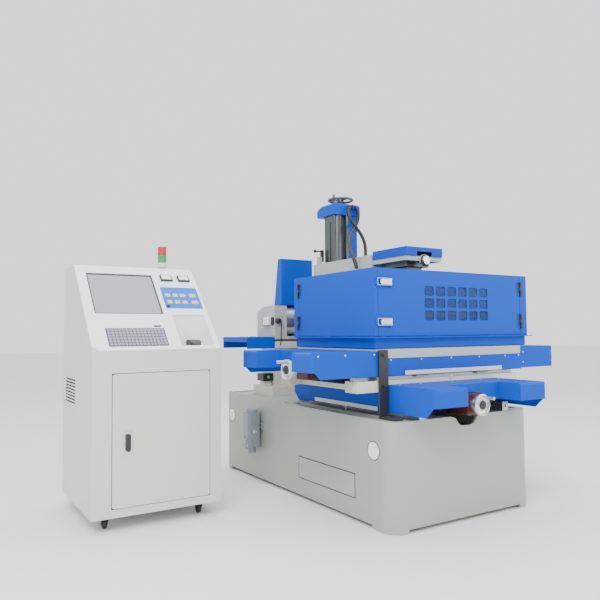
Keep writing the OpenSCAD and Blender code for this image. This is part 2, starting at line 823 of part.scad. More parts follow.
// Side aprons with the steel rule on the left one
module saddle_side_aprons() color([0.09, 0.33, 0.7]) frame() {
    for (x = [side_x, body_x + saddle_body_w])
        block([x, saddle_y, bar_z - side_apron_h], [x + sheet, saddle_back, bar_z]);
    translate([side_x - rule_t, (saddle_y + saddle_back - side_rule_len) / 2, bar_z - side_apron_h + rule_t])
        cube([rule_t, side_rule_len, rule_h]);
    for (x = [side_x - screw_head_h, body_x + saddle_body_w + sheet], y = [saddle_y + rule_h, saddle_back - rule_h])
        translate([0, y, bar_z - rule_h]) x_rod(screw_head_d, x, x + screw_head_h);
}

// X rails on the saddle's cross bars
module x_guide_rails() color(ground) frame()
    for (y = x_bar_ys) translate([0, y, bar_top])
        x_prism(mid_x - x_rail_len / 2, mid_x + x_rail_len / 2) rail_section(x_rail_w, x_rail_h);

// A square drive motor along Y, with its shaft bore and bracket; its front face is at y = 0
module drive_motor(bracket_len, bracket_w) {
    difference() {
        union() {
            y_prism(0, motor_len) translate([-motor_w / 2, -motor_w / 2])
                rounded(motor_w, motor_w, motor_w / 9);
            for (s = [0.08, 0.8]) y_prism(motor_len * s, motor_len * (s + 0.12))
                translate([-motor_w * 0.49, -motor_w * 0.49]) square(motor_w * 0.98);
            y_prism(motor_len, motor_len + bracket_len)
                translate([-bracket_w / 2, -bracket_w / 2]) square(bracket_w);
        }
        y_rod(shaft_d + bore_gap * 2, -cut, motor_len + bracket_len + cut);
    }
}
y_motor_y = saddle_y - 217 / 350 * front_reach;
module y_drive_motor() color(motor_red) frame()
    translate([mid_x, y_motor_y, y_axis_z]) drive_motor(saddle_y - y_motor_y - motor_len, motor_w * 4 / 5);

// A handwheel with dial rings, grip and feed screw, its axis along Y, hub face at y = 0
module handwheel(wheel_d, lead, screw_len, grip_turn) {
    rotate([90, 0, 0]) rotate_extrude() polygon([[0, -cut], [wheel_d * 0.17, -cut],
        [wheel_d * 0.2, 0], [wheel_d * 0.3, -wheel_d * 0.07], [wheel_d * 0.4, -wheel_d * 0.04],
        [wheel_d * 0.44, wheel_d * 0.06], [wheel_d * 0.5, wheel_d * 0.04],
        [wheel_d * 0.5, -wheel_d * 0.08], [wheel_d * 0.42, -wheel_d * 0.14], [0, -wheel_d * 0.14]]);
    y_rod(dial_d, wheel_d * 0.14, wheel_d * 0.14 + dial_len * 0.45);
    y_rod(dial_d * 0.82, wheel_d * 0.14, wheel_d * 0.14 + dial_len);
    y_rod(shaft_d, 0, lead);
    y_rod(screw_d, lead - cut, lead + screw_len);
    rotate([0, grip_turn, 0]) translate([0, 0, wheel_d * 0.38]) {
        y_rod(grip_d / 2, -grip_len / 4, wheel_d * 0.1);
        y_rod(grip_d, -grip_len, -grip_len / 8);
    }
}
y_hub_y = y_motor_y - 46 / 110 * y_wheel_d;
module y_handwheel() color(steel) frame() translate([mid_x, y_hub_y, y_axis_z])
    handwheel(y_wheel_d, saddle_y - y_hub_y, saddle_d - nut_w / 2, 30);

// Transit strap bolted to the saddle in front of the table, with its foot over the bed
strap_w = 58;
strap_t = 10;
strap_x = side_x - strap_w - rule_t - sheet;
strap_y = saddle_y - sheet - rule_t - gap;
module transit_strap() color(black) frame() {
    block([strap_x, strap_y - strap_t, bed_h + gap], [strap_x + strap_w, strap_y, table_top - sheet]);
    block([strap_x, strap_y - strap_w * 2, bed_h + gap],
        [strap_x + strap_w, strap_y, bed_h + gap + strap_t]);
    translate([strap_x + strap_w / 2, 0, cover_top]) {
        y_rod(strap_w / 3, strap_y - strap_t * 2, strap_y - strap_t);
        y_rod(strap_w * 2 / 5, strap_y, saddle_y);
    }
    translate([strap_x + strap_w / 2, 0, table_top - strap_w / 2])
        y_rod(strap_w / 3, strap_y - strap_t * 2, strap_y - strap_t);
}

// Table casting on four carriages
module table_casting() color(ground) frame() {
    difference() {
        block([table_x, saddle_y, table_z], [table_right, table_back, table_top]);
        block([table_x + nut_len, saddle_y + bar_d * 2, table_z - cut],
            [table_right - nut_len, saddle_back - bar_d * 2, table_z + table_h / 3]);
    }
    for (y = x_bar_ys, s = x_carriage_shares)
        translate([table_x + table_w * s, y, bar_top])
            carriage(carriage_len, x_rail_w, x_rail_h, table_pad_h);
}

// U-shaped cover left of the table, round the X motor
module table_left_cover() color(blue) frame() difference() {
    translate([table_x - left_reach, saddle_y - sheet + left_w, table_top - left_step]) rotate(-90)
        u_cover(left_w, left_reach, left_wing_w, left_recess_d, left_wing_h, left_side_h);
    block([table_x - left_reach, x_axis_y - motor_w / 2 - cut, table_z - left_side_h],
        [table_x + cut, x_axis_y + motor_w / 2 + cut, table_top - left_step - left_wing_h / 2]);
}

// Box-shaped cover right of the table
module table_right_cover() color(blue) frame()
    translate([table_right, saddle_y - sheet, table_top - right_step - right_h]) difference() {
        intersection() {
            z_prism(0, right_h) rounded(right_reach, right_w, [0, right_r, right_r, 0]);
            y_prism(0, right_w) rounded(right_reach, right_h, [0, 0, right_r, 0]);
        }
        intersection() {
            z_prism(-cut, right_h - sheet) translate([-cut, sheet])
                rounded(right_reach + cut - sheet, right_w - sheet * 2, [0, right_r - sheet, right_r - sheet, 0]);
            y_prism(0, right_w) translate([-cut, -cut])
                rounded(right_reach + cut - sheet, right_h + cut - sheet, [0, 0, right_r - sheet, 0]);
        }
    }

// Front and rear aprons of the table, the front one with its steel rule
module table_apron() color(blue) frame() {
    apron_z = table_top - table_bare_h - apron_h;
    block([table_x + apron_start, saddle_y - sheet, apron_z], [table_right, saddle_y, apron_z + apron_h]);
    block([table_x, table_back, apron_z], [table_right, table_back + sheet, apron_z + apron_h]);
    translate([(table_x + table_right - apron_rule_len) / 2, saddle_y - sheet - rule_t, apron_z + sheet / 2])
        cube([apron_rule_len, rule_t, rule_h]);
    screw_row([for (i = [0:3]) table_x + table_w * (0.14 + 0.26 * i)], saddle_y - sheet,
        apron_z + apron_h - rule_h / 2);
}

// X motor, its bracket and its handwheel with the feed screw
x_motor_x = table_x - 230 / 405 * left_reach;
x_hub_x = x_motor_x - 93 / 113 * x_wheel_d;
module x_drive_motor() color(motor_red) frame()
    translate([x_motor_x, x_axis_y, x_axis_z]) rotate(-90)
        drive_motor(table_x - x_motor_x - motor_len, motor_w * 3 / 4);
module x_handwheel() color(steel) frame() translate([x_hub_x, x_axis_y, x_axis_z])
    rotate(-90) handwheel(x_wheel_d, table_x - x_hub_x, table_w - nut_w, 0);

// Water tray with its outward lip
module water_tray() color(blue) frame() {
    inset = sheet * 3;
    tx = guard_x + inset;
    ty = guard_y + inset;
    tw = guard_w - inset * 2;
    td = guard_d - inset * 2;
    block([tx + tray_t, ty + tray_t, table_top], [tx + tw - tray_t, ty + td - tray_t, tray_z + tray_t]);
    difference() {
        union() {
            block([tx, ty, tray_z], [tx + tw, ty + td, lip_top - lip_t]);
            block([guard_x - lip_out, guard_y - lip_out, lip_top - lip_t],
                [guard_x + guard_w + lip_out, guard_back + lip_out, lip_top]);
        }
        block([tx + tray_t, ty + tray_t, tray_z + tray_t],
            [tx + tw - tray_t, ty + td - tray_t, lip_top + cut]);
    }
}

// Work rails on their posts inside the tray
module work_rails() color(silver) frame() {
    rail_bottom = tray_z + tray_t + work_rail_z - work_rail_h;
    for (y = [guard_y + work_rail_w * 1.2, guard_back - work_rail_w * 3]) {
        block([table_x + work_rail_w / 2, y, rail_bottom],
            [table_right - work_rail_w / 2, y + work_rail_w, rail_bottom + work_rail_h]);
        for (x = [table_x + work_rail_w, table_right - work_rail_w * 2])
            block([x, y, tray_z + tray_t], [x + work_rail_w, y + work_rail_w, rail_bottom]);
    }
}

// Fixed sheets of the splash guard: back, right side, right strip and left rear strip
module guard_shell() color(blue) frame() {
    difference() {
        block([guard_x, guard_y, lip_top], [guard_right, guard_back, guard_top]);
        block([guard_x + sheet, guard_y + sheet, door_z0],
            [guard_right - sheet, guard_back - sheet, guard_top + cut]);
        block([guard_x + rule_h, guard_y + rule_h, lip_top - cut],
            [guard_right - rule_h, guard_back - rule_h, guard_top]);
        block([guard_x - cut, guard_y - cut, door_z0],
            [hinge_axis_x, guard_y + sheet + cut, guard_top + cut]);
        block([guard_x - cut, guard_y - cut, door_z0],
            [guard_x + sheet + cut, left_axis_y, guard_top + cut]);
        block([column_x - guard_gap_w / 2, guard_back - sheet - cut, door_z0],
            [column_x + guard_gap_w / 2, guard_back + cut, door_z0 + guard_gap_h]);
    }
}

// One leaf of a guard hinge with a share of the knuckle, its axis along Z at the origin
module hinge_leaf(side, low, high) {
    leaf_x = side > 0 ? 0 : -hinge_w / 2;
    difference() {
        union() {
            translate([leaf_x, knuckle_d / 2 - hinge_leaf_t + sheet / 2, 0])
                cube([hinge_w / 2, hinge_leaf_t, hinge_h]);
            z_rod(knuckle_d, hinge_h * low, hinge_h * high);
            block([min(side, 0) * knuckle_d / 2, 0, hinge_h * low],
                [max(side, 0) * knuckle_d / 2, knuckle_d / 2, hinge_h * high]);
        }
        for (z = [[0, low], [high, 1]]) if (z[1] > z[0])
            block([-knuckle_d / 2 - gap, -knuckle_d, hinge_h * z[0] - gap],
                [knuckle_d / 2 + gap, knuckle_d, hinge_h * z[1] + gap]);
        z_rod(knuckle_d / 2 + bore_gap * 2, -cut, hinge_h + cut);
    }
}

// Fixed leaves and pins of the guard's four hinges
module guard_hardware() color(black) frame() for (s = guard_hinge_shares) {
    translate([hinge_axis_x, hinge_axis_y, lip_top + (guard_h - hinge_h) * s]) {
        hinge_leaf(1, 0, 0.5);
        z_rod(knuckle_d / 2, 0, hinge_h);
        z_rod(knuckle_d, -sheet, 0);
    }
    translate([left_axis_x, left_axis_y, lip_top + (guard_h - hinge_h) * s]) rotate(-90) {
        mirror([1, 0, 0]) hinge_leaf(1, 0, 0.5);
        z_rod(knuckle_d / 2, 0, hinge_h);
        z_rod(knuckle_d, -sheet, 0);
    }
}

// Left door, which wraps the guard's front corner and carries the latches' catches
module left_door() color(blue) frame() {
    block([guard_x, guard_y, door_z0 + door_gap], [guard_x + sheet, left_axis_y - door_gap, guard_top]);
    block([guard_x, guard_y, door_z0 + door_gap],
        [front_door_x - door_gap / 2, guard_y + sheet, guard_top]);
    for (s = guard_hinge_shares) translate([left_axis_x, left_axis_y, lip_top + (guard_h - hinge_h) * s])
        rotate(-90) mirror([1, 0, 0]) hinge_leaf(-1, 0.5, 1);
    for (s = latch_shares) translate([guard_x + sheet, guard_y, door_z0 + (guard_h - latch_h) * s]) {
        block([0, -latch_plate_t * 3, latch_h * 0.2], [flange_w * 0.7, 0, latch_h * 0.8]);
        block([0, -latch_plate_t * 5, latch_h * 0.2], [flange_w * 0.25, 0, latch_h * 0.8]);
    }
}

// Front door with its pierced windows and stiffened edges
module front_door() color(blue) frame() {
    win_w = window_step_x * (window_cols - 1) + window_w;
    win_h = window_step_z * (window_rows - 1) + window_h;
    win_x = (guard_x + guard_right - win_w) / 2;
    win_z = (door_z0 + guard_top - win_h) / 2;
    difference() {
        block([front_door_x + door_gap / 2, guard_y, door_z0 + door_gap],
            [front_door_right, guard_y + sheet, guard_top]);
        for (i = [0:window_cols - 1], j = [0:window_rows - 1])
            translate([win_x + window_step_x * i, 0, win_z + window_step_z * j])
                y_prism(guard_y - cut, guard_y + sheet + cut) rounded(window_w, window_h, window_r);
    }
    for (s = guard_hinge_shares) translate([hinge_axis_x, hinge_axis_y, lip_top + (guard_h - hinge_h) * s])
        hinge_leaf(-1, 0.5, 1);
    for (s = latch_shares) translate([front_door_x, guard_y, door_z0 + (guard_h - latch_h) * s]) {
        block([flange_w / 2, -latch_plate_t, 0], [latch_axis_off + latch_plate_t * 4, 0, latch_h]);
        translate([latch_axis_off, -latch_plate_t * 3, 0])
            z_rod(latch_plate_t * 2, -latch_plate_t, latch_h + latch_plate_t);
        for (z = [-latch_plate_t, latch_h]) block([latch_axis_off - latch_plate_t, -latch_plate_t * 4, z],
            [latch_axis_off + latch_plate_t, 0, z + latch_plate_t]);
    }
}

// Clear pane behind the front door's windows
module front_window() color([0.8, 0.9, 0.95, 0.5]) frame() {
    win_w = window_step_x * (window_cols - 1) + window_w;
    win_h = window_step_z * (window_rows - 1) + window_h;
    win_x = (guard_x + guard_right - win_w) / 2;
    win_z = (door_z0 + guard_top - win_h) / 2;
    block([win_x - rule_h, guard_y + sheet, win_z - rule_h],
        [win_x + win_w + rule_h, guard_y + sheet * 2, win_z + win_h + rule_h]);
}

// A latch: lever with round end inside a wire loop, both reaching left from the door's pin
module toggle_latch() {
    loop_x = -latch_axis_off - flange_w / 2;
    difference() {
        union() {
            y_prism(-latch_plate_t * 2, -latch_plate_t) translate([-latch_reach, latch_h / 5]) {
                square([latch_reach, latch_h * 3 / 5]);
                translate([0, latch_h * 3 / 10]) circle(d = latch_h * 3 / 5);
            }
            z_rod(latch_plate_t * 4 - gap * 2, latch_h * 0.12, latch_h * 0.88);
            for (z = [latch_h * 0.12, latch_h * 0.88]) translate([0, -latch_plate_t * 1.5, z])
                x_rod(latch_wire_d, loop_x, 0);
            translate([loop_x, -latch_plate_t * 1.5, latch_h * 0.12 - latch_wire_d / 2])
                z_rod(latch_wire_d, 0, latch_h * 0.76 + latch_wire_d);
        }
        z_rod(latch_plate_t * 2 + bore_gap * 2, -cut, latch_h + cut);
    }
}
module latch_at(s) frame()
    translate([front_door_x + latch_axis_off, guard_y - latch_plate_t * 3, door_z0 + (guard_h - latch_h) * s])
        toggle_latch();
module upper_latch() color(steel) latch_at(latch_shares[1]);
module lower_latch() color(steel) latch_at(latch_shares[0]);

// Column with a round way, a light strip and a slotted rail at its left
module column_post() color([0.32, 0.35, 0.36]) frame() {
    cx = column_x - column_w / 2;
    block([cx, column_y + rule_h, bed_h], [cx + column_w, column_back, column_top]);
    translate([cx + way_d / 2, column_y + way_d / 2, 0]) z_rod(way_d, bed_h, column_top);
    block([cx + column_w * 0.48, column_y, bed_h], [cx + column_w * 0.57, column_back, column_top]);
    block([cx + column_w * 0.57, column_y + sheet, bed_h], [cx + column_w, column_back, column_top]);
    difference() {
        block([cx - rail_plate_t, column_y + strap_t, bed_h],
            [cx, column_y + strap_t + rail_plate_w, column_top]);
        translate([cx - rail_plate_t - cut, column_y + strap_t + (rail_plate_w - rail_slot_w) / 2, bed_h + rule_h * 2])
            cube([rail_plate_t * 0.7 + cut, rail_slot_w, column_h - rule_h * 4]);
    }
    block([cx - rule_h, column_y, bed_h], [cx + column_w + rule_h, column_back + rule_h, bed_h + rule_h]);
}

// Blue sheet on the column's front and the bevelled cap with the conduit's clip
clip_x = column_x + 28 / 180 * column_w;
clip_y = 1119;
clip_z = 1848;
clip_w = 8;
module column_covers() color(blue) frame() {
    cx = column_x - column_w / 2;
    block([cx + column_w * 0.57, column_y, bed_h + rule_h], [cx + column_w, column_y + sheet, column_top]);
    intersection() {
        x_prism(cx - cap_over, cx + column_w + cap_over) translate([column_y - cap_over / 2, column_top])
            polygon([for (p = cap_side_shares) [p[0] * cap_d, p[1] * cap_h]]);
        y_prism(column_y - cap_over, column_y + cap_d) translate([cx - cap_over, column_top])
            polygon([for (p = cap_front_shares) [p[0] * (column_w + cap_over * 2), p[1] * cap_h]]);
    }
    translate([clip_x - clip_w / 2, clip_y, clip_z]) rotate([90, 0, 90]) linear_extrude(clip_w) difference() {
        union() {
            circle(d = conduit_d + clip_w);
            translate([0, -clip_w / 2]) square([column_y - cap_over / 2 - clip_y, clip_w]);
        }
        circle(d = conduit_d + sheet);
    }
}
cap_side_shares = [[0, 0], [1, 0], [1, 0.55], [0.76, 1], [0.05, 1], [0, 0.88]];
cap_front_shares = [[0, 0], [1, 0], [1, 0.85], [0.95, 1], [0.05, 1], [0, 0.85]];

// Handwheel on the cap: hub, three spokes, round rim and a grip
z_wheel_z = column_top + cap_h + 38 / 80 * cap_h;
module z_handwheel() color([0.12, 0.2, 0.5]) frame() translate([column_x, column_y + column_d / 2, z_wheel_z]) {
    rotate_extrude() translate([z_wheel_d / 2 - z_rim_d / 2, 0]) circle(d = z_rim_d);
    z_rod(z_wheel_d / 4, -z_rim_d, z_rim_d / 2);
    z_rod(shaft_d, column_top + cap_h + gap - z_wheel_z, z_rim_d);
    for (a = [30:120:270]) rotate(a) x_rod(z_rim_d * 0.7, z_wheel_d / 10, z_wheel_d / 2 - z_rim_d / 2);
    rotate(200) translate([z_wheel_d / 2 - z_rim_d / 2, 0, 0]) {
        z_rod(grip_d / 2, 0, z_rim_d);
        z_rod(grip_d, z_rim_d * 0.6, z_rim_d * 1.6);
    }
}

// Upper arm round the column, with the head's fixed plate and its front bearing
module upper_arm() color(arm_grey) frame() {
    cx = column_x - column_w / 2;
    difference() {
        block([arm_x, arm_front, arm_z], [arm_x + arm_w, arm_back, arm_top]);
        block([cx - rail_plate_t - gap, column_y - gap, arm_z - cut],
            [cx + column_w + gap, column_back + gap, arm_top + cut]);
    }
    block([arm_x + cut, head_front + rule_t * 2, head_plate_z], [arm_x + arm_w - cut, arm_front, head_plate_top]);
    translate([column_x, 0, head_plate_z + cut]) {
        y_rod(shaft_d * 2.7, head_front - cut, head_front + rule_t * 2);
        y_rod(shaft_d * 2, head_front - cut * 3, head_front - cut);
    }
    for (x = [arm_x + rule_h, arm_x + arm_w - rule_h], y = [arm_front + rule_h, arm_back - rule_h])
        translate([x, y, 0]) z_rod(screw_head_d, arm_top, arm_top + screw_head_h);
    block([cx - rail_plate_t - rule_h * 2, column_back - strap_t, arm_top],
        [cx - rail_plate_t - rule_h, column_back + strap_t * 2, arm_top + rule_h * 2]);
    translate([0, column_back + strap_t / 2, arm_top + rule_h])
        x_rod(grip_d / 2, cx - rail_plate_t - rule_h, cx - rail_plate_t - sheet);
    gland = conduit_route[len(conduit_route) - 1];
    block([gland[0] - conduit_d * 0.6, gland[1] - conduit_d * 0.6, arm_z + gland_h],
        [arm_x, gland[1] + conduit_d * 0.6, gland[2]]);
    translate([conduit_route[0][0], conduit_route[0][1], 0])
        z_rod(conduit_d * 1.3, arm_top, conduit_route[0][2]);
}

// Clamp lever on the arm, with its ball
lever_ball_d = 24;
module clamp_lever() color(black) frame() {
    cx = column_x - column_w / 2;
    lx = cx - rail_plate_t - rule_h;
    ly = column_back + strap_t / 2;
    difference() {
        union() {
            block([lx + gap, ly - strap_t, arm_top + rule_h], [lx + rule_h - sheet * 2, ly + strap_t, arm_top + rule_h * 4]);
            translate([0, ly, arm_top + rule_h]) x_rod(strap_t * 2, lx + gap, lx + rule_h - sheet * 2);
        }
        translate([0, ly, arm_top + rule_h]) x_rod(grip_d / 2 + bore_gap * 2, 0, column_x);
    }
    translate([0, ly, arm_top + rule_h * 4 - strap_t]) x_rod(strap_t, lx - rule_h * 2, lx + strap_t);
    translate([lx - rule_h * 2, ly, arm_top + rule_h * 4 - strap_t]) rotate([0, 90, 0]) rotate_extrude()
        polygon([[0, -lever_ball_d / 2], for (a = [-75:15:75]) lever_ball_d / 2 * [cos(a), sin(a)],
            [0, lever_ball_d / 2]]);
}

// Head slides below the fixed plate, the lower one with the wire nozzle
module v_slide() color(column_grey) frame() block(
    [column_x - slide_w / 2, head_front + slide_inset * 2, v_slide_top - slide_h],
    [column_x + slide_w / 2, arm_front - slide_inset, v_slide_top]);
module u_slide_head() color(column_grey) frame() {
    hz = fork_t * 2 + pulley_t;
    block([column_x - slide_w / 2 + slide_inset, head_front + slide_inset * 3, u_slide_top - slide_h],
        [column_x + slide_w / 2 - slide_inset, arm_front - slide_inset * 2, u_slide_top]);
    difference() {
        union() {
            translate([column_x - hz / 2, pulley_axis_y - hz / 2, upper_pulley_z]) cube([hz, hz, u_slide_top - slide_h - upper_pulley_z]);
            translate([column_x, pulley_axis_y, upper_pulley_z]) x_rod(hz, -hz / 2, hz / 2);
        }
        translate([column_x - pulley_t / 2 - gap, pulley_axis_y - hz, upper_pulley_z - hz])
            cube([pulley_t + gap * 2, hz * 2, hz + pulley_d / 2 + sheet]);
        translate([column_x, pulley_axis_y, upper_pulley_z]) x_rod(pulley_pin_d + bore_gap * 2, -hz, hz);
    }
}

// Blue cover over the head, open below, with a cut-out in front of the bearing
module uv_cover() color(blue) frame() difference() {
    block([arm_x, head_front, head_plate_top], [arm_x + arm_w, arm_front - strap_t, head_plate_top + uv_h]);
    block([arm_x + sheet, head_front + sheet, head_plate_top - cut],
        [arm_x + arm_w - sheet, arm_front - strap_t - sheet, head_plate_top + uv_h - sheet]);
    translate([column_x - arm_w / 5, head_front - cut, head_plate_top - cut])
        cube([arm_w * 2 / 5, cut * 3, uv_h / 2 + cut]);
}

// A grooved wire pulley on its pin, axis along X
module wire_pulley() {
    rotate([0, 90, 0]) rotate_extrude() polygon([[0, -pulley_t / 2], [pulley_d / 2, -pulley_t / 2],
        [pulley_d / 2 - pulley_t * 0.6, 0], [pulley_d / 2, pulley_t / 2], [0, pulley_t / 2]]);
    x_rod(pulley_pin_d, -fork_t - pulley_t / 2, fork_t + pulley_t / 2);
}
module upper_pulley() color(silver) frame()
    translate([column_x, pulley_axis_y, upper_pulley_z]) wire_pulley();
module lower_pulley() color(silver) frame()
    translate([column_x, pulley_axis_y, lower_pulley_z]) wire_pulley();

// Lower arm from the column to the wire, forked at its end
module lower_arm() color(arm_grey) frame() difference() {
    block([column_x - lower_arm_w / 2, lower_arm_front, lower_arm_z],
        [column_x + lower_arm_w / 2, column_y, lower_arm_z + lower_arm_h]);
    block([column_x - pulley_t / 2 - gap, lower_arm_front - cut, lower_arm_z - cut],
        [column_x + pulley_t / 2 + gap, pulley_axis_y + pulley_d, lower_arm_z + lower_arm_h + cut]);
    for (s = [-1, 1]) block([column_x + s * lower_arm_w / 3 - lower_arm_w / 5, lower_arm_front - cut, lower_arm_z - cut],
        [column_x + s * lower_arm_w / 3 + lower_arm_w / 5, lower_arm_front + pulley_d, lower_arm_z + lower_arm_h + cut]);
    translate([column_x, pulley_axis_y, lower_pulley_z]) x_rod(pulley_pin_d + bore_gap * 2, -fork_t - pulley_t / 2, fork_t + pulley_t / 2);
}

// The black conduit: one tube swept along its route
function unit(v) = v / norm(v);
function route_dir(r, i) = unit(r[min(i + 1, len(r) - 1)] - r[max(i - 1, 0)]);
function turned(n, d) = unit(n - d * (n * d));
function route_normals(r, i = 0, n = [0, 1, 0]) = i == len(r) ? [] :
    let (m = turned(n, route_dir(r, i))) concat([m], route_normals(r, i + 1, m));
module swept_tube(route, d, sides) {
    normals = route_normals(route);
    points = [for (i = [0:len(route) - 1]) let (n = normals[i], b = cross(route_dir(route, i), n))
        for (k = [0:sides - 1]) route[i] + d / 2 * (cos(360 * k / sides) * n + sin(360 * k / sides) * b)];
    ring_faces = [for (i = [0:len(route) - 2], k = [0:sides - 1]) let (a = i * sides + k,
        b = i * sides + (k + 1) % sides) each [[a, b, b + sides], [a, b + sides, a + sides]]];
    last = (len(route) - 1) * sides;
    caps = [for (k = [1:sides - 2]) each [[0, k + 1, k], [last, last + k, last + k + 1]]];
    polyhedron(points, [for (f = concat(ring_faces, caps)) [f[2], f[1], f[0]]]);
}
module conduit() color(black) frame() swept_tube(conduit_route, conduit_d, conduit_sides);

// Foot, pedestal and ways of the drum unit, with the post of the switch
module drum_bed() color(cream) frame() {
    block([drum_foot_x, drum_foot_y, bed_h],
        [drum_foot_x + drum_foot_w, drum_foot_y + drum_foot_d, bed_h + drum_foot_h]);
    block([drum_bed_x, drum_bed_y, bed_h + drum_foot_h],
        [drum_bed_x + drum_bed_w, drum_bed_y + drum_bed_d, drum_bed_top]);
    block([way_base_x, way_base_y, drum_bed_top],
        [way_base_x + way_base_w, way_base_y + way_base_d, drum_bed_top + way_base_h]);
    for (y = [way_base_y + drum_way_w, way_base_y + way_base_d - drum_way_w * 2])
        block([way_base_x, y, drum_bed_top + way_base_h], [way_base_x + way_base_w, y + drum_way_w, way_top]);
    block([post_x, post_y, bed_h + drum_foot_h], [post_x + post_w, post_y + post_d, switch_z]);
}

// Carriage that shuttles along the ways with the motor housing and the drum's far bearing
module drum_carriage() color(arm_grey) frame() difference() {
    union() {
        block([carriage_x, drum_foot_y, way_top + gap], [carriage_x + carriage_w, drum_foot_y + carriage_d, carriage_top]);
        x_prism(carriage_x, carriage_x + housing_w) translate([drum_foot_y, carriage_top])
            polygon([for (p = housing_shares) [p[0] * housing_d, p[1] * housing_h]]);
        block([bearing_x, drum_y - drum_shaft_d, carriage_top],
            [bearing_x + rule_h, drum_y + drum_shaft_d, drum_z + drum_shaft_d]);
    }
    translate([0, drum_y, drum_z]) x_rod(drum_shaft_d + bore_gap * 2, carriage_x + rule_h, bearing_x + rule_h + cut);
}

// Wire drum on its shaft: bright end ring, groove and barrel
module wire_drum() color(steel) frame() translate([drum_x, drum_y, drum_z])
    rotate([0, 90, 0]) rotate_extrude() polygon([[0, rule_h * 2 - housing_w], [drum_shaft_d / 2, rule_h * 2 - housing_w],
        [drum_shaft_d / 2, 0], [drum_flange_d / 2, 0], [drum_flange_d / 2, drum_flange_w],
        [drum_d / 2 - rule_t, drum_flange_w], [drum_d / 2 - rule_t, drum_flange_w + rule_t],
        [drum_d / 2, drum_flange_w + rule_t], [drum_d / 2, drum_len],
        [drum_shaft_d / 2, drum_len], [drum_shaft_d / 2, drum_len + sheet * 2 + rule_h],
        [0, drum_len + sheet * 2 + rule_h]]);

// Hood over the drum with its stand, and the cover over the left ends of the ways
module drum_covers() color(blue) frame() {
    back = drum_y + drum_flange_d / 2 + strap_t;
    cover_x = carriage_x - way_cover_len;
    cover_back = drum_foot_y + carriage_d;
    difference() {
        x_prism(hood_x, hood_x + hood_w) polygon([[hood_y, hood_z], [hood_y + hood_d, hood_z],
            [hood_y + hood_d * hood_top_share, hood_z + hood_h], [hood_y, hood_z + hood_h]]);
        x_prism(hood_x + sheet, hood_x + hood_w - sheet) polygon([[hood_y + sheet, hood_z - cut],
            [hood_y + hood_d - sheet, hood_z - cut],
            [hood_y + hood_d * hood_top_share - sheet, hood_z + hood_h - sheet],
            [hood_y + sheet, hood_z + hood_h - sheet]]);
    }
    block([hood_x, hood_y + hood_d - sheet, hood_z], [hood_x + hood_w, back + sheet, hood_z + sheet]);
    block([hood_x, back, carriage_top], [hood_x + hood_w, back + sheet, hood_z + sheet]);
    difference() {
        block([cover_x, drum_foot_y, drum_bed_top], [carriage_x, cover_back, drum_bed_top + way_cover_h]);
        block([cover_x + sheet, drum_foot_y + sheet, drum_bed_top - cut],
            [carriage_x + cut, cover_back - sheet, drum_bed_top + way_cover_h - sheet]);
        block([cover_x - cut, drum_foot_y + sheet, drum_bed_top - cut],
            [carriage_x, cover_back - sheet, drum_bed_top + way_cover_h - way_band_h]);
    }
}

// Switch box on its post, with the push-button's collar
module switch_post() color(black) frame() {
    right = drum_bed_x - sheet - gap;
    front = drum_bed_y + sheet * 2;
    block([right - switch_w, front, switch_z], [right, front + switch_d, switch_z + switch_h]);
    translate([right - switch_w / 2, 0, switch_z + switch_h / 2]) y_rod(rule_h, front - sheet * 2, front + sheet);
}

// Oil pump on the bed's left side, with its lever
module oil_pump() color([0.42, 0.47, 0.52]) frame() {
    px = -pump_w - strap_t;
    cy = pump_y + pump_d / 2;
    z_prism(pump_z, pump_z + pump_h) translate([px, pump_y]) rounded(pump_w, pump_d, pump_w / 6);
    translate([px + pump_w / 2, cy, 0]) {
        z_rod(pump_w * 0.8, pump_z + pump_h, pump_z + pump_h + strap_t * 2);
        z_rod(pump_w * 0.6, pump_z - strap_t * 4, pump_z);
    }
    for (y = [pump_y - strap_t * 2, pump_y + pump_d]) block([-strap_t * 1.5, y, pump_z + pump_h / 2],
        [0, y + strap_t * 2, pump_z + pump_h * 0.7]);
    block([-strap_t * 1.5, pump_y - strap_t * 2, pump_z + pump_h / 2],
        [0, pump_y + pump_d + strap_t * 2, pump_z + pump_h * 0.7]);
    translate([px + pump_w / 2, 0, pump_z - strap_t * 2]) {
        y_rod(strap_t * 2, cy, pump_y + pump_d + strap_t);
        y_rod(strap_t, cy, pump_y + pump_d + strap_t * 3);
    }
}
module oil_pump_lever() color(black) frame()
    translate([-pump_w / 2 - strap_t, pump_y + pump_d + strap_t, pump_z - strap_t * 2]) {
        difference() {
            union() {
                y_rod(strap_t * 2, gap, strap_t * 1.5);
                block([-strap_t / 2, gap, 0], [strap_t / 2, strap_t * 1.5, pump_h * 0.55]);
            }
            y_rod(strap_t + bore_gap * 2, -cut, strap_t * 3);
        }
        translate([0, strap_t * 0.75 + gap, 0]) z_rod(strap_t * 2, pump_h * 0.5, pump_h * 0.85);
    }

// Side outline of the cabinet, front at y = 0 and floor at z = 0
module cabinet_side(o) polygon([[o, o], [o, cabinet_front_h - o * tan(slope_angle / 2)],
    [slope_back + o * tan(slope_angle / 2), cabinet_top - cabinet_z - o], [cabinet_d - o, cabinet_top - cabinet_z - o], [cabinet_d - o, o]]);

// Places a child on the sloping console: X from its left side, Y up the slope, Z outwards
module on_console() translate([cabinet_x, slope_y, slope_z]) rotate([slope_angle, 0, 0]) children();

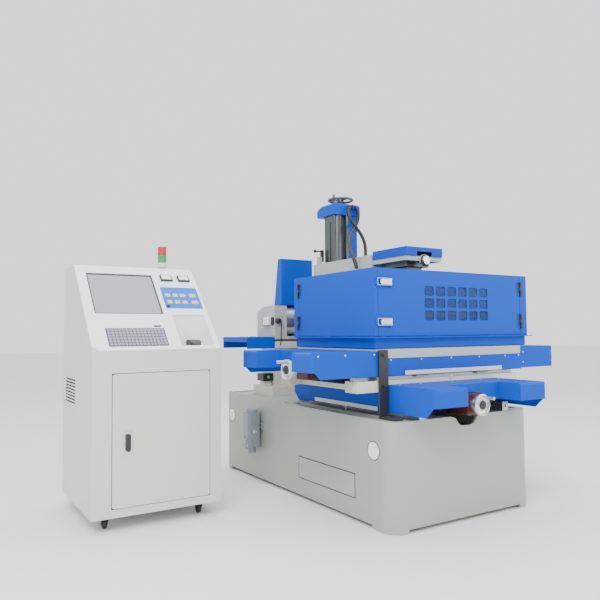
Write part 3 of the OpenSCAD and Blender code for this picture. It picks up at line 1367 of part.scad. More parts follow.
// Cabinet shell, open at the door, the console and the left louvres
pivot_in = 12;
pivot_d = 5;
pivot_t = 18;
louvre_w = 249;
louvre_h = 141;
louvre_y = 377;
louvre_z = 528;
module cabinet_shell() color(cabinet_grey) frame() {
    pivot = [cabinet_x + door_x + door_w - pivot_in, cabinet_y, cabinet_z + door_z];
    difference() {
        translate([cabinet_x, cabinet_y, cabinet_z]) difference() {
            x_prism(0, cabinet_w) cabinet_side(0);
            x_prism(cabinet_wall, cabinet_w - cabinet_wall) cabinet_side(cabinet_wall);
            translate([door_x - door_slit, -cut, door_z - door_slit])
                cube([door_w + door_slit * 2, cut + cabinet_wall * 2, door_h + door_slit * 2]);
            for (i = [0:louvre_count - 1])
                translate([-cut, louvre_y, louvre_z + louvre_h * i / louvre_count])
                    cube([cut + cabinet_wall * 2, louvre_w, louvre_h / louvre_count / 2]);
        }
        on_console() translate([panel_r / 2, panel_r / 3, -cabinet_wall * 2])
            cube([cabinet_w - panel_r, slope_len - panel_r * 2 / 3, cabinet_wall * 2 + cut]);
        translate(pivot) translate([0, cabinet_wall, 0])
            z_rod(pivot_d + bore_gap * 2, -door_slit - pivot_t, door_h + door_slit + pivot_t);
    }
    translate(pivot) for (z = [-door_slit - pivot_t, door_h + door_slit]) difference() {
        translate([-pivot_t, 0, z]) cube([pivot_t * 2, pivot_t, pivot_t]);
        translate([0, cabinet_wall, 0]) z_rod(pivot_d + bore_gap * 2, z - cut, z + pivot_t + cut);
    }
}

// Sloping console panel with its openings and the mouse recess
module console_panel() color([0.93, 0.94, 0.93]) frame() difference() {
    union() {
        on_console() z_prism(0, panel_t) rounded(cabinet_w, slope_len, [panel_r, panel_r / 3, 0, 0]);
        difference() {
            on_console() translate([recess_u - cabinet_wall, recess_v - cabinet_wall, -recess_h * 0.8])
                cube([recess_w + cabinet_wall * 2, recess_h + cabinet_wall * 2, recess_h * 0.8]);
            translate([cabinet_x, recess_floor_y - cut, recess_floor_z - cabinet_wall - recess_h])
                cube([cabinet_w, recess_h * 2, recess_h]);
            translate([cabinet_x, recess_back_y + cabinet_wall, 0]) cube([cabinet_w, recess_h, cabinet_top]);
        }
    }
    intersection() {
        on_console() translate([recess_u, recess_v, -recess_h]) cube([recess_w, recess_h, recess_h * 2]);
        translate([cabinet_x, 0, recess_floor_z]) cube([cabinet_w, recess_back_y, cabinet_top]);
    }
    on_console() {
        translate([screen_u, screen_v, -cut]) cube([screen_w, screen_h, panel_t + cut * 2]);
        translate([keyboard_u - gap, keyboard_v - gap, -cut]) cube([keyboard_w + gap * 2, keyboard_d + gap * 2, panel_t + cut * 2]);
    }
}
recess_floor_y = slope_y + recess_v * cos(slope_angle);
recess_floor_z = slope_z + recess_v * sin(slope_angle);
recess_back_y = slope_y + (recess_v + recess_h) * cos(slope_angle);

// Flat monitor behind its opening
module monitor() color(black) frame() on_console()
    translate([screen_u - strap_t, screen_v - strap_t, -strap_t * 6]) cube([screen_w + strap_t * 2, screen_h + strap_t * 2, strap_t * 6]);

// Two dial meters, the membrane key plate and the port cover
keypad_u = 449;
keypad_v = 306;
meter_u = 470;
meter_v = 531;
meter_step = 105;
module panel_instruments() color([0.25, 0.63, 0.93]) frame() on_console() {
    translate([keypad_u, keypad_v, 0]) {
        z_prism(panel_t, panel_t + sheet / 2) rounded(keypad_w, keypad_h, panel_t);
        for (i = [0:2], j = [0, 1]) translate([keypad_w * (0.1 + 0.2 * i), keypad_h * (0.2 + 0.4 * j), 0])
            z_prism(panel_t, panel_t + sheet) rounded(keypad_w * 0.13, keypad_h * 0.2, sheet);
        for (j = [0, 1]) translate([keypad_w * 0.75, keypad_h * (0.2 + 0.4 * j), 0])
            z_prism(panel_t, panel_t + sheet) rounded(keypad_w * 0.17, keypad_h * 0.2, sheet);
    }
    for (i = [0, 1]) translate([meter_u + meter_step * i, meter_v, 0])
        z_prism(panel_t, panel_t + strap_t) rounded(meter_w, meter_h, sheet);
    translate([screen_u + screen_w * 0.79, keyboard_v + keyboard_d + strap_t, 0])
        z_prism(panel_t, panel_t + sheet) rounded(meter_h * 0.8, strap_t, sheet);
}

// Keyboard tray set in the console, and its keys
key_travel = 2;
module keyboard() color([0.2, 0.2, 0.24]) frame() on_console()
    translate([keyboard_u, keyboard_v, 0]) difference() {
        z_prism(-rule_h, panel_t) rounded(keyboard_w, keyboard_d, sheet);
        for (i = [0:key_cols - 1], j = [0:key_rows - 1]) translate([key_u(i) - gap, key_v(j) - gap, 0])
            cube([key_w + gap * 2, key_d + gap * 2, panel_t + cut]);
    }
function key_u(i) = strap_t / 2 + (keyboard_w - strap_t) * (i + 0.08) / key_cols;
function key_v(j) = strap_t / 2 + (keyboard_d - strap_t) * (j + 0.08) / key_rows;
key_w = (keyboard_w - strap_t) / key_cols * 0.84;
key_d = (keyboard_d - strap_t) / key_rows * 0.84;
module keyboard_keys() color([0.42, 0.42, 0.52]) frame() on_console()
    translate([keyboard_u, keyboard_v, 0]) for (i = [0:key_cols - 1], j = [0:key_rows - 1])
        translate([key_u(i), key_v(j), key_travel + gap]) cube([key_w, key_d, panel_t]);

// Mouse on the recess floor
mouse_shares = [[0, 0], [1, 0], [1, 0.45], [0.85, 0.8], [0.6, 1], [0.35, 0.95], [0.1, 0.6], [0, 0.3]];
module mouse() color(black) frame()
    translate([cabinet_x + recess_u + recess_w / 2 - mouse_w / 2, recess_floor_y + strap_t * 1.5, recess_floor_z + gap])
        intersection() {
            x_prism(0, mouse_w) polygon([for (p = mouse_shares) [p[0] * mouse_len, p[1] * mouse_h]]);
            z_prism(0, mouse_h) rounded(mouse_w, mouse_len, mouse_w / 3);
        }

// Door of the cabinet and its turning handle on the lock plate
module cabinet_door() color(cabinet_grey) frame()
    translate([cabinet_x + door_x, cabinet_y, cabinet_z + door_z]) {
        difference() {
            y_prism(-sheet, door_t - sheet) rounded(door_w, door_h, door_r);
            y_prism(0, door_t) translate([rule_h, rule_h]) rounded(door_w - rule_h * 2, door_h - rule_h * 2, door_r);
            translate([lock_u, 0, lock_v]) y_rod(shaft_d + bore_gap * 2, -door_t, door_t);
        }
        translate([door_w - pivot_in, cabinet_wall, 0])
            for (z = [[-door_slit - pivot_t / 2, 0], [door_h, door_h + door_slit + pivot_t / 2]])
                z_rod(pivot_d, z[0], z[1]);
        difference() {
            translate([lock_u - lock_w / 2, 0, lock_v - lock_h / 2]) y_prism(-sheet * 2, -sheet) rounded(lock_w, lock_h, sheet);
            translate([lock_u, 0, lock_v]) y_rod(shaft_d + bore_gap * 2, -door_t, door_t);
        }
    }
lock_u = 77;
lock_v = 318;
module door_handle() color(black) frame()
    translate([cabinet_x + door_x + lock_u, cabinet_y, cabinet_z + door_z + lock_v]) {
        y_rod(shaft_d, -sheet * 2 - gap, door_t);
        y_prism(-sheet * 2 - strap_t, -sheet * 2 - gap) translate([-lock_w * 0.3, -lock_h * 0.35]) rounded(lock_w * 0.6, lock_h * 0.7, lock_w * 0.25);
        block([-strap_t, door_t, -strap_t], [strap_t, door_t + sheet, lock_h / 2]);
    }

// Power supply inside the cabinet, on its floor
module power_unit() color(ground) frame()
    block([cabinet_x + cabinet_w * 0.2, cabinet_y + cabinet_d * 0.3, cabinet_z + cabinet_wall],
        [cabinet_x + cabinet_w * 0.8, cabinet_y + cabinet_d * 0.85, cabinet_z + cabinet_front_h * 0.6]);

// Signal tower: stem, pale base and two lamps
module signal_tower() color([0.8, 0.2, 0.15]) frame()
    translate([cabinet_x + cabinet_w * 0.8, cabinet_y + cabinet_d * 0.826, cabinet_top]) {
        z_rod(tower_d * 0.6, 0, lamp_h / 2);
        z_rod(tower_d, lamp_h / 2, lamp_h * 1.1);
        for (i = [0, 1]) z_rod(tower_d * 0.94, lamp_h * (1.1 + i), lamp_h * (2.1 + i));
    }

// A caster's fork under its mounting plate, pivot at the origin, floor at z = 0
axle_d = 8;
module caster_fork() {
    difference() {
        union() {
            z_rod(swivel_d, caster_h - swivel_t * 2 + gap, caster_h - swivel_t);
            for (s = [-1, 1]) x_prism(s * fork_w / 2 - sheet / 2, s * fork_w / 2 + sheet / 2)
                polygon([[-swivel_d / 3, caster_h - swivel_t * 1.5], [swivel_d / 3, caster_h - swivel_t * 1.5],
                    [caster_trail + axle_d, caster_d / 2], [caster_trail, caster_d / 2 - axle_d],
                    [caster_trail - axle_d, caster_d / 2]]);
        }
        translate([0, caster_trail, caster_d / 2]) x_rod(axle_d + bore_gap * 2, -fork_w, fork_w);
    }
    z_rod(stem_d, caster_h - swivel_t, caster_h);
}
module caster_plate() difference() {
    block([-swivel_d * 0.7, -swivel_d * 0.7, caster_h - swivel_t + gap], [swivel_d * 0.7, swivel_d * 0.7, caster_h]);
    z_rod(stem_d + bore_gap * 2, 0, caster_h * 2);
}
module caster_wheel() translate([0, caster_trail, caster_d / 2]) {
    rotate([0, 90, 0]) rotate_extrude() polygon([[0, -caster_t / 2], [caster_d * 0.44, -caster_t / 2],
        [caster_d * 0.5, -caster_t * 0.3], [caster_d * 0.5, caster_t * 0.3], [caster_d * 0.44, caster_t / 2], [0, caster_t / 2]]);
    x_rod(axle_d, -fork_w / 2 - sheet, fork_w / 2 + sheet);
}
module at_caster(i, y) translate([cabinet_x + (i == 0 ? caster_in : cabinet_w - caster_in), cabinet_y + y, 0]) children();
module caster_fork_left() color(dark) frame() at_caster(0, caster_in) caster_fork();
module caster_fork_right() color(dark) frame() at_caster(1, caster_in) caster_fork();
module caster_wheel_left() color(dark) frame() at_caster(0, caster_in) caster_wheel();
module caster_wheel_right() color(dark) frame() at_caster(1, caster_in) caster_wheel();
module rear_caster_brackets() color(dark) frame() {
    for (i = [0, 1]) {
        at_caster(i, caster_in) caster_plate();
        at_caster(i, cabinet_d - caster_in) {
            caster_fork();
            block([-swivel_d * 0.7, -swivel_d * 0.7, caster_h - swivel_t], [swivel_d * 0.7, swivel_d * 0.7, caster_h]);
        }
    }
}
module rear_caster_wheels() color(dark) frame()
    for (i = [0, 1]) at_caster(i, cabinet_d - caster_in) caster_wheel();

bed_casting();
y_guide_rails();
column_post();
column_covers();
lower_arm();
drum_bed();
drum_covers();
switch_post();
oil_pump();
cabinet_shell();
console_panel();
monitor();
panel_instruments();
signal_tower();
power_unit();
rear_caster_brackets();
saddle_casting();
saddle_end_covers();
saddle_side_aprons();
x_guide_rails();
y_drive_motor();
transit_strap();
table_casting();
table_left_cover();
table_right_cover();
table_apron();
x_drive_motor();
water_tray();
work_rails();
guard_shell();
guard_hardware();
left_door();
front_door();
front_window();
upper_latch();
lower_latch();
y_handwheel();
x_handwheel();
z_handwheel();
upper_arm();
clamp_lever();
v_slide();
u_slide_head();
uv_cover();
conduit();
drum_carriage();
wire_drum();
upper_pulley();
lower_pulley();
oil_pump_lever();
cabinet_door();
door_handle();
keyboard();
keyboard_keys();
mouse();
caster_fork_left();
caster_fork_right();
caster_wheel_left();
caster_wheel_right();
rear_caster_wheels();
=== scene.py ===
"""Looks of a wire cutting machine: finishes, trim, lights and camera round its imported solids."""

from __future__ import annotations

import logging
import math
from dataclasses import dataclass, field
from enum import Enum

import bmesh
import bpy
import numpy as np
from mathutils import Matrix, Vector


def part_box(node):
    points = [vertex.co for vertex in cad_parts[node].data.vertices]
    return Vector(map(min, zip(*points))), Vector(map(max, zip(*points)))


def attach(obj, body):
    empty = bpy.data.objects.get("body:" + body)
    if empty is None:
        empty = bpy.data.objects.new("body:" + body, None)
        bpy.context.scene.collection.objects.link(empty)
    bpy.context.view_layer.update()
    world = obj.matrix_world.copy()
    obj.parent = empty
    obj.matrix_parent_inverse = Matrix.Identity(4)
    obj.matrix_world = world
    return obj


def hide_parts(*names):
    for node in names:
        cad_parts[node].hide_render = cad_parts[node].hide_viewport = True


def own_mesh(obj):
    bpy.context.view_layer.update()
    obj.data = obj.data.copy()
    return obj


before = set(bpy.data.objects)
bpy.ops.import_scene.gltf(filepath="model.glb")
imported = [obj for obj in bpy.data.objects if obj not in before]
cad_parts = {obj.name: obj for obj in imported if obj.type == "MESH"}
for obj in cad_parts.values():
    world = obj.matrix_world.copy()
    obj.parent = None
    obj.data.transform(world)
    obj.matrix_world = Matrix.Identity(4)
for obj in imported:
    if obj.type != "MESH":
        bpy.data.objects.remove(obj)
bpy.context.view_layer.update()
LOG = logging.getLogger("wire_machine")

# The solids' origin, as seen from the bed's front left corner, in millimetres.
ORIGIN_X = 115.5
ORIGIN_Y = 823.5

Socket = bpy.types.NodeSocket
Colour = tuple[float, float, float]
Point = tuple[float, float, float]
Pair = tuple[float, float]
Profile = tuple[Pair, ...]


def mm(x: float, y: float, z: float) -> np.ndarray:
    """The part frame's point for millimetres right of, behind and above the bed's front left foot."""
    return np.array([x - ORIGIN_X, y - ORIGIN_Y, z]) / 1000


# Surfaces

MERGE = 1e-6  # points nearer than this become one, in metres
SHARP = math.radians(40)  # edges over this angle stay sharp
ROUNDEST = 0.999  # share of half a side that a corner may take
CURVE_SAMPLES = 40  # points of a curve between two of its given points
ASIDE = (0.31, 0.52, 0.8)  # a direction that no path starts along


@dataclass
class Place:
    """A local frame: an origin, two directions in a plane and the plane's normal."""

    origin: np.ndarray
    u: np.ndarray
    v: np.ndarray

    @property
    def n(self) -> np.ndarray:
        """The normal, at right angles to u and v."""
        return np.cross(self.u, self.v)

    def at(self, uvn: np.ndarray) -> np.ndarray:
        """Carries local points, one per row, into the part's frame."""
        return self.origin + uvn @ np.array([self.u, self.v, self.n])

    def shifted(self, u: float, v: float, n: float = 0.0) -> "Place":
        """The same frame with its origin moved by u, v and n metres."""
        return Place(self.origin + u * self.u + v * self.v + n * self.n, self.u, self.v)


def facing(axis: str, origin: np.ndarray) -> Place:
    """A frame whose normal points along a main axis.

    Args:
        axis: One of +x, -x, +y, -y, +z, -z.
        origin: The frame's origin in metres.

    Returns:
        The frame; v points up for the four upright ones.
    """
    pairs = {"-y": ((1, 0, 0), (0, 0, 1)), "+y": ((-1, 0, 0), (0, 0, 1)),
             "-x": ((0, -1, 0), (0, 0, 1)), "+x": ((0, 1, 0), (0, 0, 1)),
             "+z": ((1, 0, 0), (0, 1, 0)), "-z": ((1, 0, 0), (0, -1, 0))}
    u, v = pairs[axis]
    return Place(np.asarray(origin, float), np.array(u, float), np.array(v, float))


@dataclass
class Surface:
    """Points and faces that several shapes are gathered in before they become one piece."""

    verts: np.ndarray = field(default_factory=lambda: np.zeros((0, 3)))
    faces: list[list[int]] = field(default_factory=list)

    def add(self, verts: np.ndarray, faces: list[list[int]]) -> "Surface":
        """Appends a shape, its faces counted from its own first point.

        Args:
            verts: The shape's points, one per row.
            faces: Its faces as lists of point numbers.

        Returns:
            This surface, so that calls can follow each other.
        """
        start = len(self.verts)
        self.verts = np.vstack([self.verts, verts])
        self.faces += [[i + start for i in f] for f in faces]
        return self

    def piece(self, name: str, finish: "Finish", body: str, smooth: bool = False) -> bpy.types.Object:
        """Makes the surface an object that rides on a body.

        Args:
            name: The piece's name.
            finish: What it is coated with.
            body: The CAD body that it moves with.
            smooth: Whether its faces are shaded smooth, with sharp edges kept over 40 degrees.

        Returns:
            The new object.
        """
        mesh = bpy.data.meshes.new(name)
        mesh.from_pydata(self.verts.tolist(), [], self.faces)
        work = bmesh.new()
        work.from_mesh(mesh)
        bmesh.ops.remove_doubles(work, verts=work.verts, dist=MERGE)
        bmesh.ops.recalc_face_normals(work, faces=work.faces)
        work.to_mesh(mesh)
        work.free()
        piece = bpy.data.objects.new(name, mesh)
        bpy.context.scene.collection.objects.link(piece)
        mesh.materials.append(finish.material())
        if smooth:
            mesh.shade_smooth()
            mesh.set_sharp_from_angle(angle=SHARP)
        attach(piece, body)
        return piece


def ring_faces(rings: int, count: int, closed: bool = True) -> list[list[int]]:
    """Quads between neighbouring rings of a grid.

    Args:
        rings: Number of rings.
        count: Points in a ring.
        closed: Whether the last point of a ring joins its first.

    Returns:
        The quads as index lists.
    """
    cols = count if closed else count - 1
    i, k = np.meshgrid(np.arange(rings - 1), np.arange(cols), indexing="ij")
    a, b = i * count + k, i * count + (k + 1) % count
    return np.stack([a, b, b + count, a + count], -1).reshape(-1, 4).tolist()


def rounded(w: float, h: float, r: float, steps: int = 5) -> np.ndarray:
    """Outline of a rectangle with round corners, centred, anticlockwise.

    Each corner is a quarter circle: its centre plus r times cosine and sine of the angle.

    Args:
        w: Width in metres.
        h: Height in metres.
        r: Radius of the corners.
        steps: Points in each corner.

    Returns:
        The outline's points, one per row.
    """
    r = min(r, w / 2 * ROUNDEST, h / 2 * ROUNDEST)
    a = np.linspace(0, math.pi / 2, steps)
    angles = np.concatenate([a + k * math.pi / 2 for k in range(4)])
    cx = np.repeat([w / 2 - r, r - w / 2, r - w / 2, w / 2 - r], steps)
    cy = np.repeat([h / 2 - r, h / 2 - r, r - h / 2, r - h / 2], steps)
    return np.stack([cx + r * np.cos(angles), cy + r * np.sin(angles)], -1)


def disc(d: float, steps: int = 24) -> np.ndarray:
    """Outline of a circle of diameter d: half of it times cosine and sine, one point per row."""
    a = np.arange(steps) * 2 * math.pi / steps
    return np.stack([np.cos(a), np.sin(a)], -1) * d / 2


def slab(place: Place, outline: np.ndarray, height: float, edge: float = 0.0005) -> tuple:
    """A plate of an outline whose upper edge is broken by a small chamfer.

    The outline stands at the bottom and just under the top, and drawn in by the edge on the top.

    Args:
        place: Where the plate's underside lies.
        outline: Points in the plane, one per row.
        height: Thickness along the normal.
        edge: Width of the chamfer.

    Returns:
        Points and faces.
    """
    n = len(outline)
    inner = outline * (1 - 2 * edge / np.maximum(np.ptp(outline, axis=0), 1e-6))
    levels = [(outline, 0.0), (outline, height - edge), (inner, height)]
    verts = np.vstack([np.column_stack([o, np.full(n, z)]) for o, z in levels])
    caps = [list(range(n))[::-1], list(range(2 * n, 3 * n))]
    return place.at(verts), ring_faces(3, n) + caps


def hollow_slab(place: Place, outer: np.ndarray, inner: np.ndarray, height: float) -> tuple:
    """A flat frame between two outlines with the same number of points.

    Args:
        place: Where the frame's underside lies.
        outer: Points of the outer outline, one per row.
        inner: Points of the inner outline, one per row.
        height: Thickness along the normal.

    Returns:
        Points and faces.
    """
    n = len(outer)
    rings = [(outer, 0.0), (outer, height), (inner, height), (inner, 0.0), (outer, 0.0)]
    verts = np.vstack([np.column_stack([o, np.full(n, z)]) for o, z in rings])
    return place.at(verts), ring_faces(5, n)


def turned(place: Place, profile: Profile, steps: int = 40) -> tuple:
    """A solid of revolution about the place's normal.

    Every profile point (radius, height) becomes a ring of radius times cosine and sine.

    Args:
        place: Foot of the axis.
        profile: Points from foot to top, with radius zero at both ends.
        steps: Points round the axis.

    Returns:
        Points and faces.
    """
    p = np.array(profile, float)
    a = np.arange(steps) * 2 * math.pi / steps
    grid = np.stack([p[:, :1] * np.cos(a), p[:, :1] * np.sin(a), np.repeat(p[:, 1:], steps, 1)], -1)
    return place.at(grid.reshape(-1, 3)), ring_faces(len(p), steps)


def smooth_path(points: np.ndarray, step: float) -> np.ndarray:
    """A Catmull-Rom curve through points, resampled at an even step along its length.

    Between two points it is the cubic whose end slopes are half of the neighbours' difference.

    Args:
        points: Points that the curve passes through, one per row.
        step: Distance between the new points in metres.

    Returns:
        The evenly spaced points, one per row.
    """
    p = np.vstack([2 * points[0] - points[1], points, 2 * points[-1] - points[-2]])
    t = np.linspace(0, 1, CURVE_SAMPLES, endpoint=False)[:, None]
    parts = [0.5 * (2 * b + (c - a) * t + (2 * a - 5 * b + 4 * c - d) * t**2 + (3 * b - a - 3 * c + d) * t**3)
             for a, b, c, d in zip(p[:-3], p[1:-2], p[2:-1], p[3:])]
    line = np.vstack(parts + [points[-1:]])
    s = np.concatenate([[0], np.cumsum(np.linalg.norm(np.diff(line, axis=0), axis=1))])
    even = np.linspace(0, s[-1], max(2, int(round(s[-1] / step)) + 1))
    return np.stack([np.interp(even, s, line[:, k]) for k in range(3)], -1)


def tube(path: np.ndarray, radii: np.ndarray, sides: int = 12) -> tuple:
    """A closed tube whose ring at each path point is its radius times cosine and sine.

    The first normal is carried along by turning it no more than each bend asks.

    Args:
        path: Centre points, one per row.
        radii: Radius at each point.
        sides: Points round the tube.

    Returns:
        Points and faces, with both ends closed.
    """
    tangents = np.gradient(path, axis=0)
    tangents /= np.linalg.norm(tangents, axis=1)[:, None]
    normal = np.cross(tangents[0], ASIDE)
    normals = []
    for t in tangents:
        normal = normal - t * (normal @ t)
        normal /= np.linalg.norm(normal)
        normals.append(normal)
    n = np.array(normals)
    b = np.cross(tangents, n)
    a = np.arange(sides) * 2 * math.pi / sides
    ring = np.cos(a)[:, None] * n[:, None] + np.sin(a)[:, None] * b[:, None]
    grid = path[:, None] + radii[:, None, None] * ring
    last = (len(path) - 1) * sides
    caps = [list(range(sides))[::-1], list(range(last, last + sides))]
    return grid.reshape(-1, 3), ring_faces(len(path), sides) + caps


# Finishes


class Pattern(Enum):
    """What a finish shows besides its plain coat."""

    COAT = "coat"
    BRUSHED = "brushed"
    RULE = "rule"
    GLASS = "glass"


class NodeSheet:
    """Places shader nodes and feeds their inputs."""

    def __init__(self, tree: bpy.types.NodeTree) -> None:
        """Keeps the node tree that the nodes go in."""
        self.tree = tree

    def feed(self, target: Socket, value: object) -> None:
        """Links an output to an input, or sets the input where the value is a plain one.

        Args:
            target: The input.
            value: A node's output, or a value.
        """
        if isinstance(value, Socket):
            self.tree.links.new(value, target)
        else:
            target.default_value = value

    def node(self, kind: str, *terms: object, **values: object) -> bpy.types.Node:
        """Adds a node, sets what the keys name and feeds its first inputs in order.

        Args:
            kind: Blender's name of the node type.
            *terms: Outputs or plain values for the first inputs.
            **values: Property names, or input names with _ for a space.

        Returns:
            The new node.
        """
        made = self.tree.nodes.new(kind)
        for key, value in values.items():
            name = key.replace("_", " ")
            if name in made.inputs:
                self.feed(made.inputs[name], value)
            else:
                setattr(made, key, value)
        for target, term in zip(made.inputs, terms):
            self.feed(target, term)
        return made

    def math(self, operation: str, *terms: object, clamp: bool = False) -> Socket:
        """The result of a math node on its terms."""
        return self.node("ShaderNodeMath", *terms, operation=operation, use_clamp=clamp).outputs[0]

    def noise(self, place: Socket, **values: object) -> Socket:
        """The height of a noise at a place."""
        return self.node("ShaderNodeTexNoise", Vector=place, **values).outputs["Fac"]

    def ranged(self, value: Socket, low: float, high: float) -> Socket:
        """A value's share of the way from low to high."""
        return self.node("ShaderNodeMapRange", Value=value, From_Min=low, From_Max=high).outputs["Result"]

    def mix(self, share: Socket, first: object, second: object) -> Socket:
        """A colour that goes from the first to the second with the share.

        Args:
            share: Output that gives the second colour's share.
            first: A colour or an output.
            second: A colour or an output.

        Returns:
            The mixed colour's output.
        """
        made = self.node("ShaderNodeMix", data_type="RGBA")
        for slot, value in ((0, share), (6, first), (7, second)):
            self.feed(made.inputs[slot], value)
        return made.outputs[2]


SOCKET_KINDS = {1: "NodeSocketFloat", 3: "NodeSocketVector", 4: "NodeSocketColor"}
GROUP_OUTPUTS = {"Color": 4, "Rough": 1, "Normal": 3}
BEVEL_SAMPLES = 4
CLOUD = {"Scale": 2.2, "Detail": 5.0, "Roughness": 0.62}
PATCH = {"Scale": 26.0, "Detail": 4.0}
STAIN = {"Scale": 9.0, "Detail": 4.0}
RIM_BEND = (0.985, 0.86)  # cosines between face and rounded edge, from unworn to worn
WORN_PATCH = (0.45, 0.62)  # patch heights between which the wear sets in
DUST_SLOPE = (0.6, 1.0)  # upward share of the normal, from clean to dusty
DUST_COLOUR = (0.55, 0.53, 0.49, 1)
CLOUD_ROUGH = 0.25
STAIN_ROUGH = 0.2
SKIN_DEPTH = 0.0004
BRUSH_TINT = (0.8, 1.15)
BRUSH_DEPTH = 0.0002
BRUSH_ROUND = 0.0008


def new_group(name: str, inputs: dict[str, float | tuple]) -> tuple:
    """Starts a shared shader group that gives out a colour, a roughness and a normal.

    Args:
        name: The group's name.
        inputs: Names and defaults of its inputs.

    Returns:
        The group, its sheet, and the sockets of its input node and its output node.
    """
    group = bpy.data.node_groups.new(name, "ShaderNodeTree")
    for key, value in inputs.items():
        kind = SOCKET_KINDS[np.size(value)]
        group.interface.new_socket(key, in_out="INPUT", socket_type=kind).default_value = value
    for key, size in GROUP_OUTPUTS.items():
        group.interface.new_socket(key, in_out="OUTPUT", socket_type=SOCKET_KINDS[size])
    sheet = NodeSheet(group)
    return group, sheet, sheet.node("NodeGroupInput").outputs, sheet.node("NodeGroupOutput").inputs


def coat_group() -> bpy.types.NodeTree:
    """Shared coat: cloudy colour, a worn rim along edges, settled dust and a fine skin.

    Returns:
        The node group, made once.
    """
    name = "machine_coat"
    if name in bpy.data.node_groups:
        return bpy.data.node_groups[name]
    group, sheet, given, out = new_group(name, {
        "Color": (0.5, 0.5, 0.5, 1), "Edge Color": (0.7, 0.7, 0.7, 1), "Cloud": 0.1, "Edge": 0.3, "Dust": 0.1,
        "Rough": 0.4, "Skin": 0.1, "Skin Scale": 700.0, "Round": 0.0015})
    place = sheet.node("ShaderNodeTexCoord").outputs["Object"]
    cloud = sheet.noise(place, **CLOUD)
    centred = sheet.math("SUBTRACT", cloud, 0.5)
    shade = sheet.math("MULTIPLY_ADD", centred, given["Cloud"], 1.0)
    tone = sheet.node("ShaderNodeHueSaturation", Color=given["Color"], Value=shade).outputs["Color"]
    bevel = sheet.node("ShaderNodeBevel", samples=BEVEL_SAMPLES, Radius=given["Round"]).outputs["Normal"]
    normal = sheet.node("ShaderNodeNewGeometry").outputs["Normal"]
    bend = sheet.node("ShaderNodeVectorMath", bevel, normal, operation="DOT_PRODUCT").outputs["Value"]
    patch = sheet.ranged(sheet.noise(place, **PATCH), *WORN_PATCH)
    worn = sheet.math("MULTIPLY", sheet.ranged(bend, *RIM_BEND), patch)
    edged = sheet.mix(sheet.math("MULTIPLY", worn, given["Edge"], clamp=True), tone, given["Edge Color"])
    upward = sheet.node("ShaderNodeSeparateXYZ", normal).outputs["Z"]
    settled = sheet.math("MULTIPLY", sheet.ranged(upward, *DUST_SLOPE), cloud)
    dust = sheet.math("MULTIPLY", settled, given["Dust"], clamp=True)
    skin = sheet.noise(place, Scale=given["Skin Scale"], Detail=2.0)
    bump = sheet.node("ShaderNodeBump", Distance=SKIN_DEPTH, Strength=given["Skin"], Height=skin,
                      Normal=bevel)
    sheet.feed(out["Color"], sheet.mix(dust, edged, DUST_COLOUR))
    sheet.feed(out["Rough"], sheet.math("MULTIPLY_ADD", centred, CLOUD_ROUGH, given["Rough"], clamp=True))
    sheet.feed(out["Normal"], bump.outputs["Normal"])
    return group


def brush_group() -> bpy.types.NodeTree:
    """Shared brushing: fine lines that vary colour and height, and stains that vary roughness.

    Returns:
        The node group, made once.
    """
    name = "machine_brushing"
    if name in bpy.data.node_groups:
        return bpy.data.node_groups[name]
    group, sheet, given, out = new_group(name, {
        "Color": (0.6, 0.6, 0.6, 1), "Rough": 0.3, "Depth": 0.15, "Stretch": (8.0, 900.0, 900.0)})
    place = sheet.node("ShaderNodeTexCoord").outputs["Object"]
    scaled = sheet.node("ShaderNodeVectorMath", place, given["Stretch"], operation="MULTIPLY").outputs[0]
    lines = sheet.noise(scaled, Scale=1.0, Detail=3.0)
    low, high = BRUSH_TINT
    tint = sheet.node("ShaderNodeMapRange", Value=lines, To_Min=low, To_Max=high).outputs["Result"]
    tone = sheet.node("ShaderNodeHueSaturation", Color=given["Color"], Value=tint)
    stain = sheet.noise(place, **STAIN)
    bevel = sheet.node("ShaderNodeBevel", samples=BEVEL_SAMPLES, Radius=BRUSH_ROUND)
    bump = sheet.node("ShaderNodeBump", Distance=BRUSH_DEPTH, Strength=given["Depth"], Height=lines,
                      Normal=bevel.outputs["Normal"])
    sheet.feed(out["Color"], tone.outputs["Color"])
    sheet.feed(out["Rough"], sheet.math("MULTIPLY_ADD", stain, STAIN_ROUGH, given["Rough"], clamp=True))
    sheet.feed(out["Normal"], bump.outputs["Normal"])
    return group


CLEAR_ROUGH = 0.12
PANE_IOR = 1.49
TICK_PITCH = 0.005
TICK_HALF = 0.0006
TICK_SHADE = 0.6
TICK_COLOUR = (0.05, 0.05, 0.05, 1)


